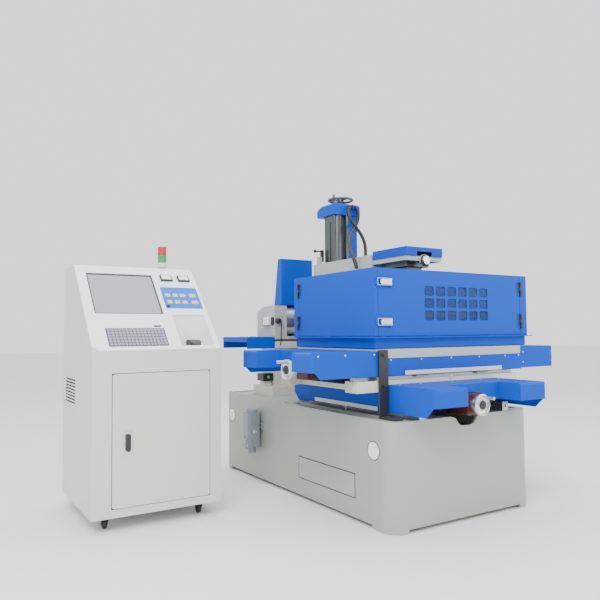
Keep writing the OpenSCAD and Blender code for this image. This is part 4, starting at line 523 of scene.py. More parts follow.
@dataclass(frozen=True)
class Finish:
    """A coat or bare material, made into a Blender material once."""

    name: str
    colour: Colour
    slot: str = ""
    pattern: Pattern = Pattern.COAT
    rough: float = 0.38
    metallic: float = 0.0
    cloud: float = 0.08
    edge: float = 0.25
    edge_colour: Colour = (0.75, 0.78, 0.8)
    dust: float = 0.12
    skin: float = 0.12
    skin_scale: float = 700.0
    round_r: float = 0.0015
    clear: float = 0.0
    gloss: float = 0.5
    alpha: float = 1.0
    glow: float = 0.0
    stretch: Point = (8.0, 900.0, 900.0)

    def material(self) -> bpy.types.Material:
        """The finish as a node material, shared by everything that has it.

        Returns:
            The material, made at its first use.
        """
        name = f"{self.name}_finish"
        if name in bpy.data.materials:
            return bpy.data.materials[name]
        made = bpy.data.materials.new(name)
        made.use_nodes = True
        made.diffuse_color = (*self.colour, 1)
        sheet = NodeSheet(made.node_tree)
        values = {"Metallic": self.metallic, "Coat Weight": self.clear, "Coat Roughness": CLEAR_ROUGH,
                  "Specular IOR Level": self.gloss}
        if self.glow:
            values |= {"Emission Color": (*self.colour, 1), "Emission Strength": self.glow}
        values |= self._pane() if self.pattern is Pattern.GLASS else self._surface(sheet)
        shader = made.node_tree.nodes["Principled BSDF"]
        for key, value in values.items():
            sheet.feed(shader.inputs[key], value)
        return made

    def _pane(self) -> dict[str, object]:
        """Inputs of a clear pane: see-through by alpha, with a faint tint and a sharp gloss."""
        return {"Base Color": (*self.colour, 1), "Roughness": self.rough, "Alpha": self.alpha,
                "IOR": PANE_IOR}

    def _surface(self, sheet: NodeSheet) -> dict[str, object]:
        """Colour, roughness and normal from the shared coat or brushing.

        Args:
            sheet: The material's sheet.

        Returns:
            Input names of the shader with the outputs that feed them.
        """
        group = sheet.node("ShaderNodeGroup")
        if self.pattern is Pattern.COAT:
            group.node_tree = coat_group()
            values = {"Edge Color": (*self.edge_colour, 1), "Cloud": self.cloud, "Edge": self.edge,
                      "Dust": self.dust, "Skin": self.skin, "Skin Scale": self.skin_scale,
                      "Round": self.round_r}
        else:
            group.node_tree = brush_group()
            values = {"Stretch": self.stretch}
        for key, value in {**values, "Color": (*self.colour, 1), "Rough": self.rough}.items():
            group.inputs[key].default_value = value
        colour = group.outputs["Color"]
        if self.pattern is Pattern.RULE:
            colour = self._graduations(sheet, colour)
        return {"Base Color": colour, "Roughness": group.outputs["Rough"], "Normal": group.outputs["Normal"]}

    def _graduations(self, sheet: NodeSheet, colour: Socket) -> Socket:
        """Darkens thin ticks that repeat every five millimetres along a steel rule.

        Args:
            sheet: The material's sheet.
            colour: The metal's colour.

        Returns:
            The colour with the ticks.
        """
        coords = sheet.node("ShaderNodeTexCoord")
        split = sheet.node("ShaderNodeSeparateXYZ", coords.outputs["Object"])
        along = sheet.math("ADD", split.outputs["X"], split.outputs["Y"])
        wave = sheet.math("PINGPONG", along, TICK_PITCH / 2)
        tick = sheet.math("LESS_THAN", wave, TICK_HALF)
        return sheet.mix(sheet.math("MULTIPLY", tick, TICK_SHADE), colour, TICK_COLOUR)

    def coat(self, *nodes: str) -> None:
        """Puts the finish on CAD nodes.

        Args:
            *nodes: Their names.
        """
        for name in nodes:
            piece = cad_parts[name]
            for slot in piece.material_slots:
                slot.material = self.material()
            LOG.info("node %s: %s", name, self.name)


BLUE = Finish("blue_coat", (0.0004, 0.062, 0.46), "blue_sheet", rough=0.45, gloss=0.12, cloud=0.05, edge=0.05,
              edge_colour=(0.25, 0.42, 0.75), dust=0.0)
BED_PAINT = Finish("bed_enamel", (0.33, 0.355, 0.315), "bed_paint", rough=0.42, cloud=0.09, skin=0.2,
                   skin_scale=260.0, round_r=0.004, clear=0.1)
CREAM = Finish("cream_enamel", (0.56, 0.56, 0.47), "cream_paint", rough=0.4, cloud=0.06, skin=0.15,
               round_r=0.003)
ARM_GREY = Finish("arm_enamel", (0.4, 0.425, 0.4), "grey_casting", rough=0.42, cloud=0.05, round_r=0.003)
CABINET = Finish("cabinet_coat", (0.6, 0.615, 0.57), "cabinet_paint", rough=0.45, cloud=0.04, skin=0.3,
                 skin_scale=1400.0, edge=0.05, round_r=0.003)
PANEL = Finish("panel_coat", (0.84, 0.855, 0.84), "panel_paint", rough=0.3, cloud=0.02, edge=0.03, dust=0.03,
               clear=0.2, round_r=0.002)
GROUND = Finish("ground_steel", (0.5, 0.51, 0.52), "ground_steel", Pattern.BRUSHED, rough=0.24, metallic=1.0)
DARK = Finish("dark_steel", (0.1, 0.115, 0.12), "dark_steel", Pattern.BRUSHED, rough=0.28, metallic=0.85,
              stretch=(700.0, 700.0, 6.0))
STAINLESS = Finish("stainless_sheet", (0.62, 0.63, 0.63), "stainless", Pattern.BRUSHED, rough=0.2,
                   metallic=1.0)
ALUMINIUM = Finish("turned_aluminium", (0.72, 0.72, 0.71), "handwheel_metal", Pattern.BRUSHED, rough=0.22,
                   metallic=1.0, stretch=(400.0, 400.0, 400.0))
RULE = Finish("steel_rule", (0.75, 0.75, 0.73), "ground_steel", Pattern.RULE, rough=0.3, metallic=0.7)
MOTOR_RED = Finish("motor_enamel", (0.07, 0.012, 0.011), "motor_red", rough=0.35, cloud=0.1, clear=0.2)
BLACK = Finish("black_oxide", (0.018, 0.018, 0.019), "black_hardware", rough=0.42, cloud=0.2, edge=0.3,
               edge_colour=(0.16, 0.16, 0.16))
PUMP = Finish("pump_enamel", (0.24, 0.28, 0.32), "pump_paint", rough=0.38, metallic=0.3, cloud=0.12, skin=0.3,
              skin_scale=300.0, round_r=0.003)
PANE = Finish("clear_pane", (0.02, 0.05, 0.16), "clear_pane", Pattern.GLASS, rough=0.12, gloss=0.12,
              alpha=0.6)
SCREEN = Finish("screen_glass", (0.24, 0.25, 0.26), "screen_glass", rough=0.16, cloud=0.05, edge=0.0,
                dust=0.0, skin=0.0, clear=0.6)
BEZEL = Finish("bezel_black", (0.02, 0.02, 0.022), "black_plastic", rough=0.4, edge=0.05, skin=0.3)
SKY = Finish("keypad_film", (0.002, 0.16, 0.68), "keypad_film", rough=0.4, gloss=0.15, cloud=0.02, edge=0.02,
             dust=0.0)
YELLOW = Finish("membrane_yellow", (0.75, 0.5, 0.12), "keypad_film", rough=0.3, cloud=0.02, edge=0.0,
                dust=0.0)
WHITE = Finish("dial_white", (0.85, 0.85, 0.82), "keypad_film", rough=0.35, cloud=0.02, edge=0.0, dust=0.0)
PLASTIC = Finish("black_plastic", (0.02, 0.02, 0.021), "black_plastic", rough=0.42, skin=0.35,
                 skin_scale=900.0, edge=0.1, edge_colour=(0.12, 0.12, 0.12), round_r=0.002)
KEYS = Finish("key_plastic", (0.25, 0.25, 0.33), "key_plastic", rough=0.38, cloud=0.05, edge=0.1, dust=0.0,
              round_r=0.0012)
KEY_TRAY = Finish("key_tray", (0.07, 0.07, 0.09), "black_plastic", rough=0.4, dust=0.0)
GREEN_LAMP = Finish("green_lens", (0.004, 0.26, 0.08), "lamp_plastic", rough=0.2, clear=0.5, edge=0.0,
                    glow=0.12)
RED_LAMP = Finish("red_lens", (0.5, 0.006, 0.006), "lamp_plastic", rough=0.2, clear=0.5, edge=0.0, glow=0.12)
PALE_LAMP = Finish("lamp_base", (0.66, 0.64, 0.58), "lamp_plastic", rough=0.35, edge=0.0)
RUBBER = Finish("conduit_rubber", (0.014, 0.014, 0.015), "conduit_rubber", rough=0.5, skin=0.2, edge=0.0,
                dust=0.08)
TREAD = Finish("caster_tread", (0.022, 0.022, 0.023), "caster_rubber", rough=0.6, dust=0.25, edge=0.0)
BRASS = Finish("brass", (0.62, 0.43, 0.16), "", Pattern.BRUSHED, rough=0.25, metallic=1.0,
               stretch=(500.0, 500.0, 500.0))
PLATE = Finish("bare_plate", (0.45, 0.47, 0.46), "", Pattern.BRUSHED, rough=0.35, metallic=0.5)


SCREW_SHARES = ((0, 0), (1, 0), (1, 0.5), (0.72, 1), (0.3, 1), (0.22, 0.55), (0, 0.5))
SCREW_STEPS = 14
THIN_SIDES = 8


def plate(name: str, finish: Finish, body: str, place: Place, outline: np.ndarray, height: float,
          edge: float = 0.0005) -> bpy.types.Object:
    """A slab that is a piece of its own."""
    return Surface().add(*slab(place, outline, height, edge)).piece(name, finish, body)


def lathe(name: str, finish: Finish, body: str, place: Place, profile: Profile) -> bpy.types.Object:
    """A turned solid that is a piece of its own, shaded smooth."""
    return Surface().add(*turned(place, profile)).piece(name, finish, body, True)


def thin_tube(name: str, finish: Finish, body: str, path: np.ndarray, radius: float) -> None:
    """A thin tube of one radius that is a piece of its own, shaded smooth."""
    Surface().add(*tube(path, np.full(len(path), radius), THIN_SIDES)).piece(name, finish, body, True)


def screws(name: str, body: str, face: str, spots: list[Point], finish: Finish = ALUMINIUM,
           d: float = 0.0095, head: float = 0.0022) -> None:
    """Low round screw heads with a shallow round recess, gathered in one piece.

    Args:
        name: The piece's name.
        body: The CAD body that they move with.
        face: The direction that the heads look to, as for facing.
        spots: Centres on the face, in millimetres from the bed's front left corner.
        finish: What they are coated with.
        d: Head diameter in metres.
        head: Head height in metres.
    """
    profile = tuple((d / 2 * r, head * z) for r, z in SCREW_SHARES)
    out = Surface()
    for spot in spots:
        out.add(*turned(facing(face, mm(*spot)), profile, SCREW_STEPS))
    out.piece(name, finish, body, True)


# Sub-assemblies
#
# Places (x, y, z) are in millimetres from the bed's front left corner. Sizes, profiles of radius and
# height, and shifts in a plane are in metres, unless a comment says otherwise.


@dataclass
class Bed:
    """Cast bed with its guide rails, bare plates and oil pump."""

    plate_at: Point = (0, 577, 182)
    plate_w: float = 0.556
    plate_h: float = 0.13
    plate_rim: float = 0.012
    disc_at: tuple[Point, ...] = ((0, 145, 387), (0, 1764, 387))
    disc_d: float = 0.097
    disc_share: float = 0.9
    disc_steps: int = 40
    cap_in: float = 0.045
    cap_z: float = 0.450
    cap: Profile = ((0, 0), (0.042, 0), (0.042, 0.004), (0.037, 0.005), (0.037, 0.019), (0.034, 0.0205),
                    (0.012, 0.0205), (0.011, 0.0215), (0, 0.0215))
    bolt_x: float = -15
    bolt_y: Pair = (1300, 1410)
    bolt_z: Pair = (348, 372)
    bolt_d: float = 0.011
    bolt_head: float = 0.006
    fitting_at: Point = (-100, 1355, 290)
    fitting: Profile = ((0, 0), (0.009, 0), (0.009, 0.006), (0.006, 0.007), (0.006, 0.014), (0.004, 0.016),
                        (0, 0.016))
    glass_at: Point = (-55, 1310, 330)
    glass: Profile = ((0, 0), (0.014, 0), (0.014, 0.004), (0.01, 0.005), (0.01, 0.003), (0, 0.003))
    feed_at: Point = (-116, 1355, 290)
    feed_curl: Pair = (0.012, 0.03)
    feed_turn: float = 9.4
    feed_drift: Point = (0.05, -0.04, -0.045)
    feed_r: float = 0.0022

    def build(self) -> None:
        """Adds the bare plate, the two discs and the pump's fittings."""
        side = facing("-x", mm(*self.plate_at))
        w, h = self.plate_w, self.plate_h
        plate("bed_plate_rim", BEZEL, "machine", side, rounded(w, h, 0.004), 0.0008)
        plate("bed_bare_plate", PLATE, "machine", side,
              rounded(w - self.plate_rim, h - self.plate_rim, 0.003), 0.0014)
        for i, spot in enumerate(self.disc_at):
            at = facing("-x", mm(*spot))
            plate(f"bed_disc_{i}", BEZEL, "machine", at, disc(self.disc_d, self.disc_steps), 0.001)
            plate(f"bed_disc_face_{i}", WHITE, "machine", at.shifted(0, 0, 0.001),
                  disc(self.disc_d * self.disc_share, self.disc_steps), 0.0006)
        self._pump()

    def _pump(self) -> None:
        """The pump's flanged cap, lug bolts, sight glass, fitting and coiled feed tube."""
        lo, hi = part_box("oil_pump")
        cap = facing("+z", np.array([lo[0] + self.cap_in, (lo[1] + hi[1]) / 2, self.cap_z]))
        lathe("pump_cap", PUMP, "machine", cap, self.cap)
        screws("pump_bolts", "machine", "-x", [(self.bolt_x, y, z) for y in self.bolt_y for z in self.bolt_z],
               BLACK, self.bolt_d, self.bolt_head)
        fitting = facing("-x", mm(*self.fitting_at))
        Surface().add(*turned(fitting, self.fitting, 6)).piece("pump_fitting", BRASS, "machine")
        lathe("pump_sight_glass", ALUMINIUM, "machine", facing("-y", mm(*self.glass_at)), self.glass)
        t = np.linspace(0, 1, 60)[:, None]
        turn = t * self.feed_turn
        sway = np.hstack([self.feed_curl[0] * np.cos(turn), 0 * t, -self.feed_curl[1] * np.sin(turn)])
        curl = mm(*self.feed_at) + sway + np.array(self.feed_drift) * t
        thin_tube("pump_feed_tube", ALUMINIUM, "machine", curl, self.feed_r)

    def dress(self) -> None:
        """Coats the bed's nodes."""
        BED_PAINT.coat("bed_casting")
        GROUND.coat("y_guide_rails")
        PUMP.coat("oil_pump")
        PLASTIC.coat("oil_pump_lever")


@dataclass
class DriveWheels:
    """The two feed motors and the three handwheels; radii are shares of the rim's."""

    hub: Profile = ((0, 0), (0.42, 0), (0.42, 0.004), (0.36, 0.0065), (0.14, 0.0068), (0.12, 0.0045),
                    (0, 0.0042))
    hub_out: float = 0.0045
    rings: tuple[tuple[float, float, Finish], ...] = (
        (-0.0205, 0.72, BLACK), (-0.029, 0.73, ALUMINIUM), (-0.0365, 0.6, BLACK))
    ring_h: float = 0.006
    ring_edge: float = 0.001

    def _feed_wheel(self, axis: str, centre: Point, d: float) -> None:
        """A black hub and banded dial rings for the silver rim of a feed wheel.

        Args:
            axis: The axis that the wheel looks along, x or y.
            centre: Centre of the hub's front face.
            d: Rim diameter in metres.
        """
        at = facing(f"-{axis}", mm(*centre))
        node, body = f"{axis}_handwheel", f"{axis}_wheel"
        lathe(f"{node}_hub", BLACK, body, at.shifted(0, 0, self.hub_out),
              tuple((d / 2 * share, z) for share, z in self.hub))
        for i, (out, share, coat) in enumerate(self.rings):
            r, low = d / 2 * share, self.ring_h - self.ring_edge
            ring = ((0, 0), (r, 0), (r, low), (r - self.ring_edge, self.ring_h), (0, self.ring_h))
            lathe(f"{node}_ring_{i}", coat, body, at.shifted(0, 0, out), ring)

    def build(self) -> None:
        """Adds hubs and rings to the two feed wheels."""
        self._feed_wheel("y", (505, -106, 602), 0.110)
        self._feed_wheel("x", (-278, 517, 780), 0.113)

    def dress(self) -> None:
        """Coats motors and wheels."""
        MOTOR_RED.coat("y_drive_motor", "x_drive_motor")
        ALUMINIUM.coat("y_handwheel", "x_handwheel")
        DARK.coat("z_handwheel")


@dataclass
class SlideTable:
    """Saddle, table and their sheet covers with rules and screws."""

    rule_h: float = 0.022
    rule_t: float = 0.0002
    rule_edge: float = 0.00005
    apron_y: float = 153.8

    def build(self) -> None:
        """Lays graduated faces on the rules and screws on the covers."""
        for body, axis, low, centre, length in (
                ("table", 1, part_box("table_apron")[0], (593, 0, 764), 0.742),
                ("saddle", 0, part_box("saddle_side_aprons")[0], (0, 532.5, 576.5), 0.594)):
            spot = mm(*centre)
            spot[axis] = low[axis]
            plate(f"{body}_rule_face", RULE, body, facing(("-x", "-y")[axis], spot),
                  rounded(length, self.rule_h, 0.001), self.rule_t, self.rule_edge)
        y = self.apron_y
        for name, body, face, spots in (
                ("front_cover_screws", "saddle", "+z", [(x, 100, 707) for x in (140, 280, 505, 730, 870)]),
                ("apron_screws", "table", "-y", [(x, y, 832) for x in (130, 340, 560, 780, 1000, 1120)]),
                ("right_cover_screws", "table", "-y", [(x, y, z) for x in (1160, 1428) for z in (790, 850)]),
                ("left_cover_screws", "table", "-y", [(x, y, 862) for x in (-320, -160, 20)])):
            screws(name, body, face, spots)

    def dress(self) -> None:
        """Coats castings, covers and rails."""
        CREAM.coat("saddle_casting")
        ARM_GREY.coat("table_casting")
        BLUE.coat("saddle_end_covers", "saddle_side_aprons", "table_left_cover", "table_right_cover",
                  "table_apron")
        GROUND.coat("x_guide_rails")
        BLACK.coat("transit_strap")


@dataclass
class SplashGuard:
    """Water tray, work rails, guard sheets, doors, windows, hinges and latches."""

    window_w: float = 0.067
    window_h: float = 0.052
    window_in: float = 0.025
    step_x: float = 0.0846
    step_z: float = 0.066
    cols: int = 6
    rows: int = 3
    door_in: float = 0.003
    rim_over: float = 0.003
    rim_under: float = 0.001
    rim_t: float = 0.0006
    # The hinges' measures are in millimetres.
    lip_top: float = 965.0
    guard_h: float = 358.0
    hinge_h: float = 66.0
    hinge_shares: Pair = (0.15, 0.81)
    front_axis: Pair = (1148.0, 149.5)
    left_axis: Pair = (21.5, 888.0)
    knuckle_d: float = 12.0
    leaf_w: float = 22.0
    leaf_in: float = 4.5
    # Again in metres: how far the black covers stand off the steel.
    knuckle_cover: float = 0.0003
    leaf_cover: float = 0.0006
    cover_edge: float = 0.0002

    def build(self) -> None:
        """Adds rims round the windows and covers over the doors' halves of the hinges."""
        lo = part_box("front_window")[0]
        x0, z0 = lo[0] + self.window_in + self.window_w / 2, lo[2] + self.window_in + self.window_h / 2
        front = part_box("front_door")[1][1] - self.door_in
        outer = rounded(self.window_w + self.rim_over, self.window_h + self.rim_over, 0.0105)
        inner = rounded(self.window_w - self.rim_under, self.window_h - self.rim_under, 0.0085)
        rims = Surface()
        for i in range(self.cols):
            for j in range(self.rows):
                at = facing("-y", np.array([x0 + i * self.step_x, front, z0 + j * self.step_z]))
                rims.add(*hollow_slab(at, outer, inner, self.rim_t))
        rims.piece("window_rims", BLUE, "front_door")
        self._hinge_covers()
        LOG.info("window rims: %d", self.cols * self.rows)

    def _hinge_covers(self) -> None:
        """Black leaves and knuckles over the doors' halves of the hinges."""
        half, edge = self.hinge_h / 2, self.cover_edge
        r = self.knuckle_d / 2000 + self.knuckle_cover
        knuckle = ((0, edge), (r, edge), (r, half / 1000), (0, half / 1000))
        leaf = rounded((self.leaf_w - self.knuckle_d / 2) / 1000, self.hinge_h / 1000, 0.002)
        for name, face, axis, side in (("front", "-y", self.front_axis, -1),
                                       ("left", "-x", self.left_axis, 1)):
            covers = Surface()
            for share in self.hinge_shares:
                middle = mm(*axis, self.lip_top + (self.guard_h - self.hinge_h) * share + half)
                covers.add(*turned(facing("+z", middle), knuckle, 20))
                across = side * (self.leaf_w / 2 + self.knuckle_d / 4) / 1000
                covers.add(*slab(facing(face, middle).shifted(across, 0, -self.leaf_in / 1000), leaf,
                                 self.leaf_cover, edge))
            covers.piece(f"{name}_hinge_covers", BLACK, f"{name}_door")

    def dress(self) -> None:
        """Coats tray, guard, doors and their fittings."""
        STAINLESS.coat("upper_latch", "lower_latch")
        GROUND.coat("work_rails")
        BLUE.coat("water_tray", "guard_shell", "left_door", "front_door")
        BLACK.coat("guard_hardware")
        PANE.coat("front_window")


@dataclass
class ColumnUnit:
    """Column, arms, head and the conduit that hangs between them."""

    conduit_d: float = 0.024
    rib: float = 0.0012
    rib_pitch: float = 0.007
    conduit_fixed_z: float = 1840.0
    conduit_keep: float = 0.57
    bearing_at: Point = (589, 375, 1395)
    bearing_disc: Profile = ((0, 0), (0.036, 0), (0.036, 0.004), (0.032, 0.0055), (0, 0.0055))
    bearing_cap: Profile = ((0, 0), (0.0265, 0), (0.0265, 0.007), (0.024, 0.0095), (0.008, 0.0095),
                            (0.007, 0.008), (0, 0.008))
    route: tuple[Point, ...] = (
        (690, 1070, 1460), (690, 1070, 1490), (690, 1070, 1540), (683, 1070, 1590), (660, 1071, 1640),
        (626, 1074, 1685), (592, 1080, 1728), (570, 1092, 1772), (574, 1108, 1816), (600, 1118, 1846),
        (636, 1120, 1850), (662, 1119, 1822), (666, 1116, 1778), (648, 1108, 1736), (612, 1088, 1702),
        (562, 1050, 1660), (505, 1000, 1610), (458, 945, 1562), (430, 895, 1508), (420, 850, 1450),
        (418, 828, 1412), (418, 820, 1392), (418, 820, 1375))

    def build(self) -> None:
        """Adds the ribbed conduit and the head's bearing cap."""
        path = smooth_path(np.array([mm(*p) for p in self.route]), self.rib_pitch / 5)
        s = np.concatenate([[0], np.cumsum(np.linalg.norm(np.diff(path, axis=0), axis=1))])
        radii = self.conduit_d / 2 - self.rib / 2 + self.rib / 2 * np.sin(s * 2 * math.pi / self.rib_pitch)
        conduit = Surface().add(*tube(path, radii, 14)).piece("ribbed_conduit", RUBBER, "machine", True)
        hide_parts("conduit")
        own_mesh(conduit)
        LOG.info("conduit %.3f m", s[-1])
        bearing = facing("-y", mm(*self.bearing_at))
        lathe("head_bearing_disc", BLACK, "arm", bearing, self.bearing_disc)
        lathe("head_bearing_cap", ALUMINIUM, "arm", bearing.shifted(0, 0, self.bearing_disc[-1][1]),
              self.bearing_cap)

    def dress(self) -> None:
        """Coats column, arms and head."""
        DARK.coat("column_post", "v_slide", "u_slide_head")
        BLUE.coat("column_covers", "uv_cover")
        ARM_GREY.coat("upper_arm", "lower_arm")
        BLACK.coat("clamp_lever")
        STAINLESS.coat("upper_pulley", "lower_pulley")


@dataclass
class DrumUnit:
    """Wire drum with its housing, hood, way cover and switch post."""

    side_x: float = 151.0
    box_y: Pair = (1446.0, 1532.0)
    box_z: Pair = (1029.0, 1084.0)
    box_out: float = 0.024
    ends: tuple[Pair, ...] = ((1426.0, 0.03), (1550.0, 0.026))  # y in millimetres and width
    end_h: float = 0.058
    end_out: float = 0.012
    plug_at: Point = (174.0, 1403.0, 1058.0)
    plug: Profile = ((0, 0), (0.02, 0), (0.02, 0.008), (0.0165, 0.01), (0.0165, 0.03), (0.014, 0.034),
                     (0.007, 0.034), (0.006, 0.03), (0, 0.03))
    cable_d: float = 0.006
    cable_step: float = 0.004
    cable: tuple[Point, ...] = ((0, -30, 0), (8, -34, -6), (18, -24, -30), (21, -14, -70), (21, -10, -110),
                                (20, -9, -150), (17, -7, -172))  # from the plug's foot, in millimetres
    side_screws: tuple[Pair, ...] = ((1415, 1148), (1415, 963), (1646, 963), (1560, 1148))
    knob_at: Point = (388, 1520, 1345)
    knob: Profile = ((0, 0), (0.006, 0), (0.006, 0.006), (0.011, 0.008), (0.012, 0.014), (0.009, 0.018),
                     (0, 0.019))
    lamp_at: Point = (160.3, 1513.0, 663.5)
    lamp: Profile = ((0, 0), (0.011, 0), (0.011, 0.005), (0.008, 0.009), (0, 0.011))

    def build(self) -> None:
        """Adds the limit switch, the plug with its cable, screws, the hood's knob and the pilot light."""
        self._limit_switch()
        self._plug()
        screws("housing_screws", "drum_carriage", "-x", [(self.side_x, y, z) for y, z in self.side_screws])
        lathe("hood_knob", BLACK, "drum_carriage", facing("-y", mm(*self.knob_at)), self.knob)
        lathe("pilot_light", GREEN_LAMP, "machine", facing("-y", mm(*self.lamp_at)), self.lamp)

    def _limit_switch(self) -> None:
        """White switch box on the housing's left side, between two black end blocks."""
        middle = [sum(pair) / 2 for pair in (self.box_y, self.box_z)]
        size = [(pair[1] - pair[0]) / 1000 for pair in (self.box_y, self.box_z)]
        plate("limit_switch_box", WHITE, "drum_carriage", facing("-x", mm(self.side_x, *middle)),
              rounded(*size, 0.004), self.box_out, 0.0012)
        ends = Surface()
        for y, width in self.ends:
            ends.add(*slab(facing("-x", mm(self.side_x, y, middle[1])), rounded(width, self.end_h, 0.012),
                           self.end_out, 0.002))
        ends.piece("limit_switch_ends", BLACK, "drum_carriage")

    def _plug(self) -> None:
        """Round black plug on the housing's front, with a thin cable down to the way cover."""
        lathe("drum_motor_plug", BLACK, "drum_carriage", facing("-y", mm(*self.plug_at)), self.plug)
        foot = np.array(self.plug_at)
        path = smooth_path(np.array([mm(*(foot + step)) for step in self.cable]), self.cable_step)
        thin_tube("drum_motor_cable", RUBBER, "drum_carriage", path, self.cable_d / 2)

    def dress(self) -> None:
        """Coats the drum unit's nodes."""
        CREAM.coat("drum_bed")
        BLUE.coat("drum_covers")
        ARM_GREY.coat("drum_carriage")
        ALUMINIUM.coat("wire_drum")
        BLACK.coat("switch_post")


@dataclass
class ControlCabinet:
    """Cabinet with sloping console, screen, keyboard, meters, mouse, signal tower and casters."""

    # The slope's lower left corner, its rise and its run to the back, in millimetres.
    corner: Point = (-1213, 803, 891)
    rise: float = 467
    back: float = 442
    # Places on the slope: to the right of the corner and up the slope.
    screen_at: Pair = (0.2375, 0.421)
    screen_in: float = -0.0005
    screen_outer: Pair = (0.371, 0.320)
    screen_inner: Pair = (0.357, 0.306)
    screen_glass: Pair = (0.356, 0.305)
    panel_out: float = 0.006
    keypad_at: Pair = (0.559, 0.393)
    keypad: Pair = (0.22, 0.174)
    keypad_t: float = 0.0015
    keys: tuple[Point, ...] = ((-0.078, 0.03, 0.026), (-0.033, 0.03, 0.026), (0.012, 0.03, 0.026),
                               (0.072, 0.04, 0.028))  # place across the keypad, width and height
    key_rows: Pair = (-0.036, 0.02)
    key_out: float = 0.0012
    knob_at: Pair = (-0.095, -0.07)
    knob: Profile = ((0, 0), (0.008, 0), (0.008, 0.006), (0.006, 0.008), (0, 0.008))
    meters: tuple[Pair, ...] = ((0.506, 130), (0.611, 70))  # place and the needle's angle in degrees
    meter_v: float = 0.5555
    meter_case: Pair = (0.072, 0.049)
    meter_out: float = 0.010
    meter_dial: Pair = (0.058, 0.034)
    dial_up: float = 0.002
    dial_t: float = 0.0004
    needle_l: float = 0.022
    needle_down: float = 0.012
    needle_r: Pair = (0.0005, 0.0003)
    port_at: Pair = (0.365, 0.168)
    port: Pair = (0.04, 0.010)
    lock_at: Point = (-1036, 797, 434)
    lock: Pair = (0.041, 0.124)
    # The tower's radii are shares of its own.
    tower_d: float = 0.058
    tower_base: Profile = ((0, 0), (0.5, 0), (0.5, 0.025), (1, 0.026), (1, 0.054), (0, 0.054))
    lamp_z: Pair = (0.0545, 0.1045)
    lamp_h: float = 0.048
    lamp_top: float = 0.0495
    lamp_shares: Pair = (0.93, 0.86)
    lamp_rib: float = 0.0007
    lamp_rib_pitch: float = 0.006

    def console(self) -> Place:
        """The console's own frame: u from its left side, v up the slope, n outwards.

        Returns:
            The frame, with its origin at the slope's lower left corner.
        """
        length = math.hypot(self.rise, self.back)
        return Place(mm(*self.corner), np.array([1.0, 0, 0]),
                     np.array([0, self.back / length, self.rise / length]))

    def build(self) -> None:
        """Builds screen frame, instruments, tower lamps and lock plate."""
        top = self.console()
        self._screen(top)
        self._instruments(top)
        self._tower()
        plate("lock_plate", STAINLESS, "cabinet_door", facing("-y", mm(*self.lock_at)),
              rounded(*self.lock, 0.003), 0.00025, 0.0001)

    def _screen(self, top: Place) -> None:
        """A thin dark frame and the glass face inside the monitor's opening.

        Args:
            top: The console's frame.
        """
        centre = top.shifted(*self.screen_at, self.screen_in)
        outer, inner = rounded(*self.screen_outer, 0.002), rounded(*self.screen_inner, 0.002)
        Surface().add(*hollow_slab(centre, outer, inner, 0.004)).piece("screen_frame", BEZEL, "machine")
        plate("screen_face", SCREEN, "machine", centre, rounded(*self.screen_glass, 0.002), 0.0012)

    def _instruments(self, top: Place) -> None:
        """The membrane key plate, its keys, two dial meters and the port cover.

        Args:
            top: The console's frame.
        """
        pad = top.shifted(*self.keypad_at, self.panel_out)
        film = plate("keypad_plate", SKY, "machine", pad, rounded(*self.keypad, 0.006), self.keypad_t)
        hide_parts("panel_instruments")
        keys = Surface()
        for u, w, h in self.keys:
            for v in self.key_rows:
                keys.add(*slab(pad.shifted(u, v, self.keypad_t), rounded(w, h, 0.004), self.key_out))
        keys.piece("membrane_keys", YELLOW, "machine")
        lathe("keypad_button", BEZEL, "machine", pad.shifted(*self.knob_at, self.keypad_t), self.knob)
        for i, (u, degrees) in enumerate(self.meters):
            self._meter(i, top.shifted(u, self.meter_v, self.panel_out), math.radians(degrees))
        plate("port_cover", BEZEL, "machine", top.shifted(*self.port_at, self.panel_out),
              rounded(*self.port, 0.002), 0.003)

    def _meter(self, i: int, at: Place, swing: float) -> None:
        """One dial meter: case, white dial and needle.

        Args:
            i: The meter's number.
            at: Its centre on the panel.
            swing: The needle's angle in radians.
        """
        plate(f"meter_case_{i}", BEZEL, "machine", at, rounded(*self.meter_case, 0.003), self.meter_out,
              0.002)
        plate(f"meter_dial_{i}", WHITE, "machine", at.shifted(0, self.dial_up, self.meter_out),
              rounded(*self.meter_dial, 0.002), self.dial_t)
        foot = at.shifted(0, -self.needle_down, self.meter_out + self.needle_r[0] + 0.0001)
        needle = np.array([[0, 0, 0], [math.cos(swing), math.sin(swing), 0]]) * self.needle_l
        Surface().add(*tube(foot.at(needle), np.array(self.needle_r), 6)).piece(
            f"meter_needle_{i}", BEZEL, "machine")

    def _tower(self) -> None:
        """Stem, pale base and two ribbed lamps of the signal tower, all turned."""
        lo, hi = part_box("signal_tower")
        at = facing("+z", np.array([(lo[0] + hi[0]) / 2, (lo[1] + hi[1]) / 2, lo[2]]))
        r = self.tower_d / 2
        base = tuple((r * share, z) for share, z in self.tower_base)
        stem = lathe("tower_base", PALE_LAMP, "machine", at, base)
        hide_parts("signal_tower")
        z = np.linspace(0, self.lamp_h, 40)
        side, rim = (r * share for share in self.lamp_shares)
        ribs = side + self.lamp_rib * np.sin(z * 2 * math.pi / self.lamp_rib_pitch)
        profile = [(0, 0)] + list(zip(ribs, z)) + [(rim, self.lamp_top), (0, self.lamp_top)]
        for i, (coat, up) in enumerate(zip((GREEN_LAMP, RED_LAMP), self.lamp_z)):
            lathe(f"tower_lamp_{i}", coat, "machine", at.shifted(0, 0, up), profile)

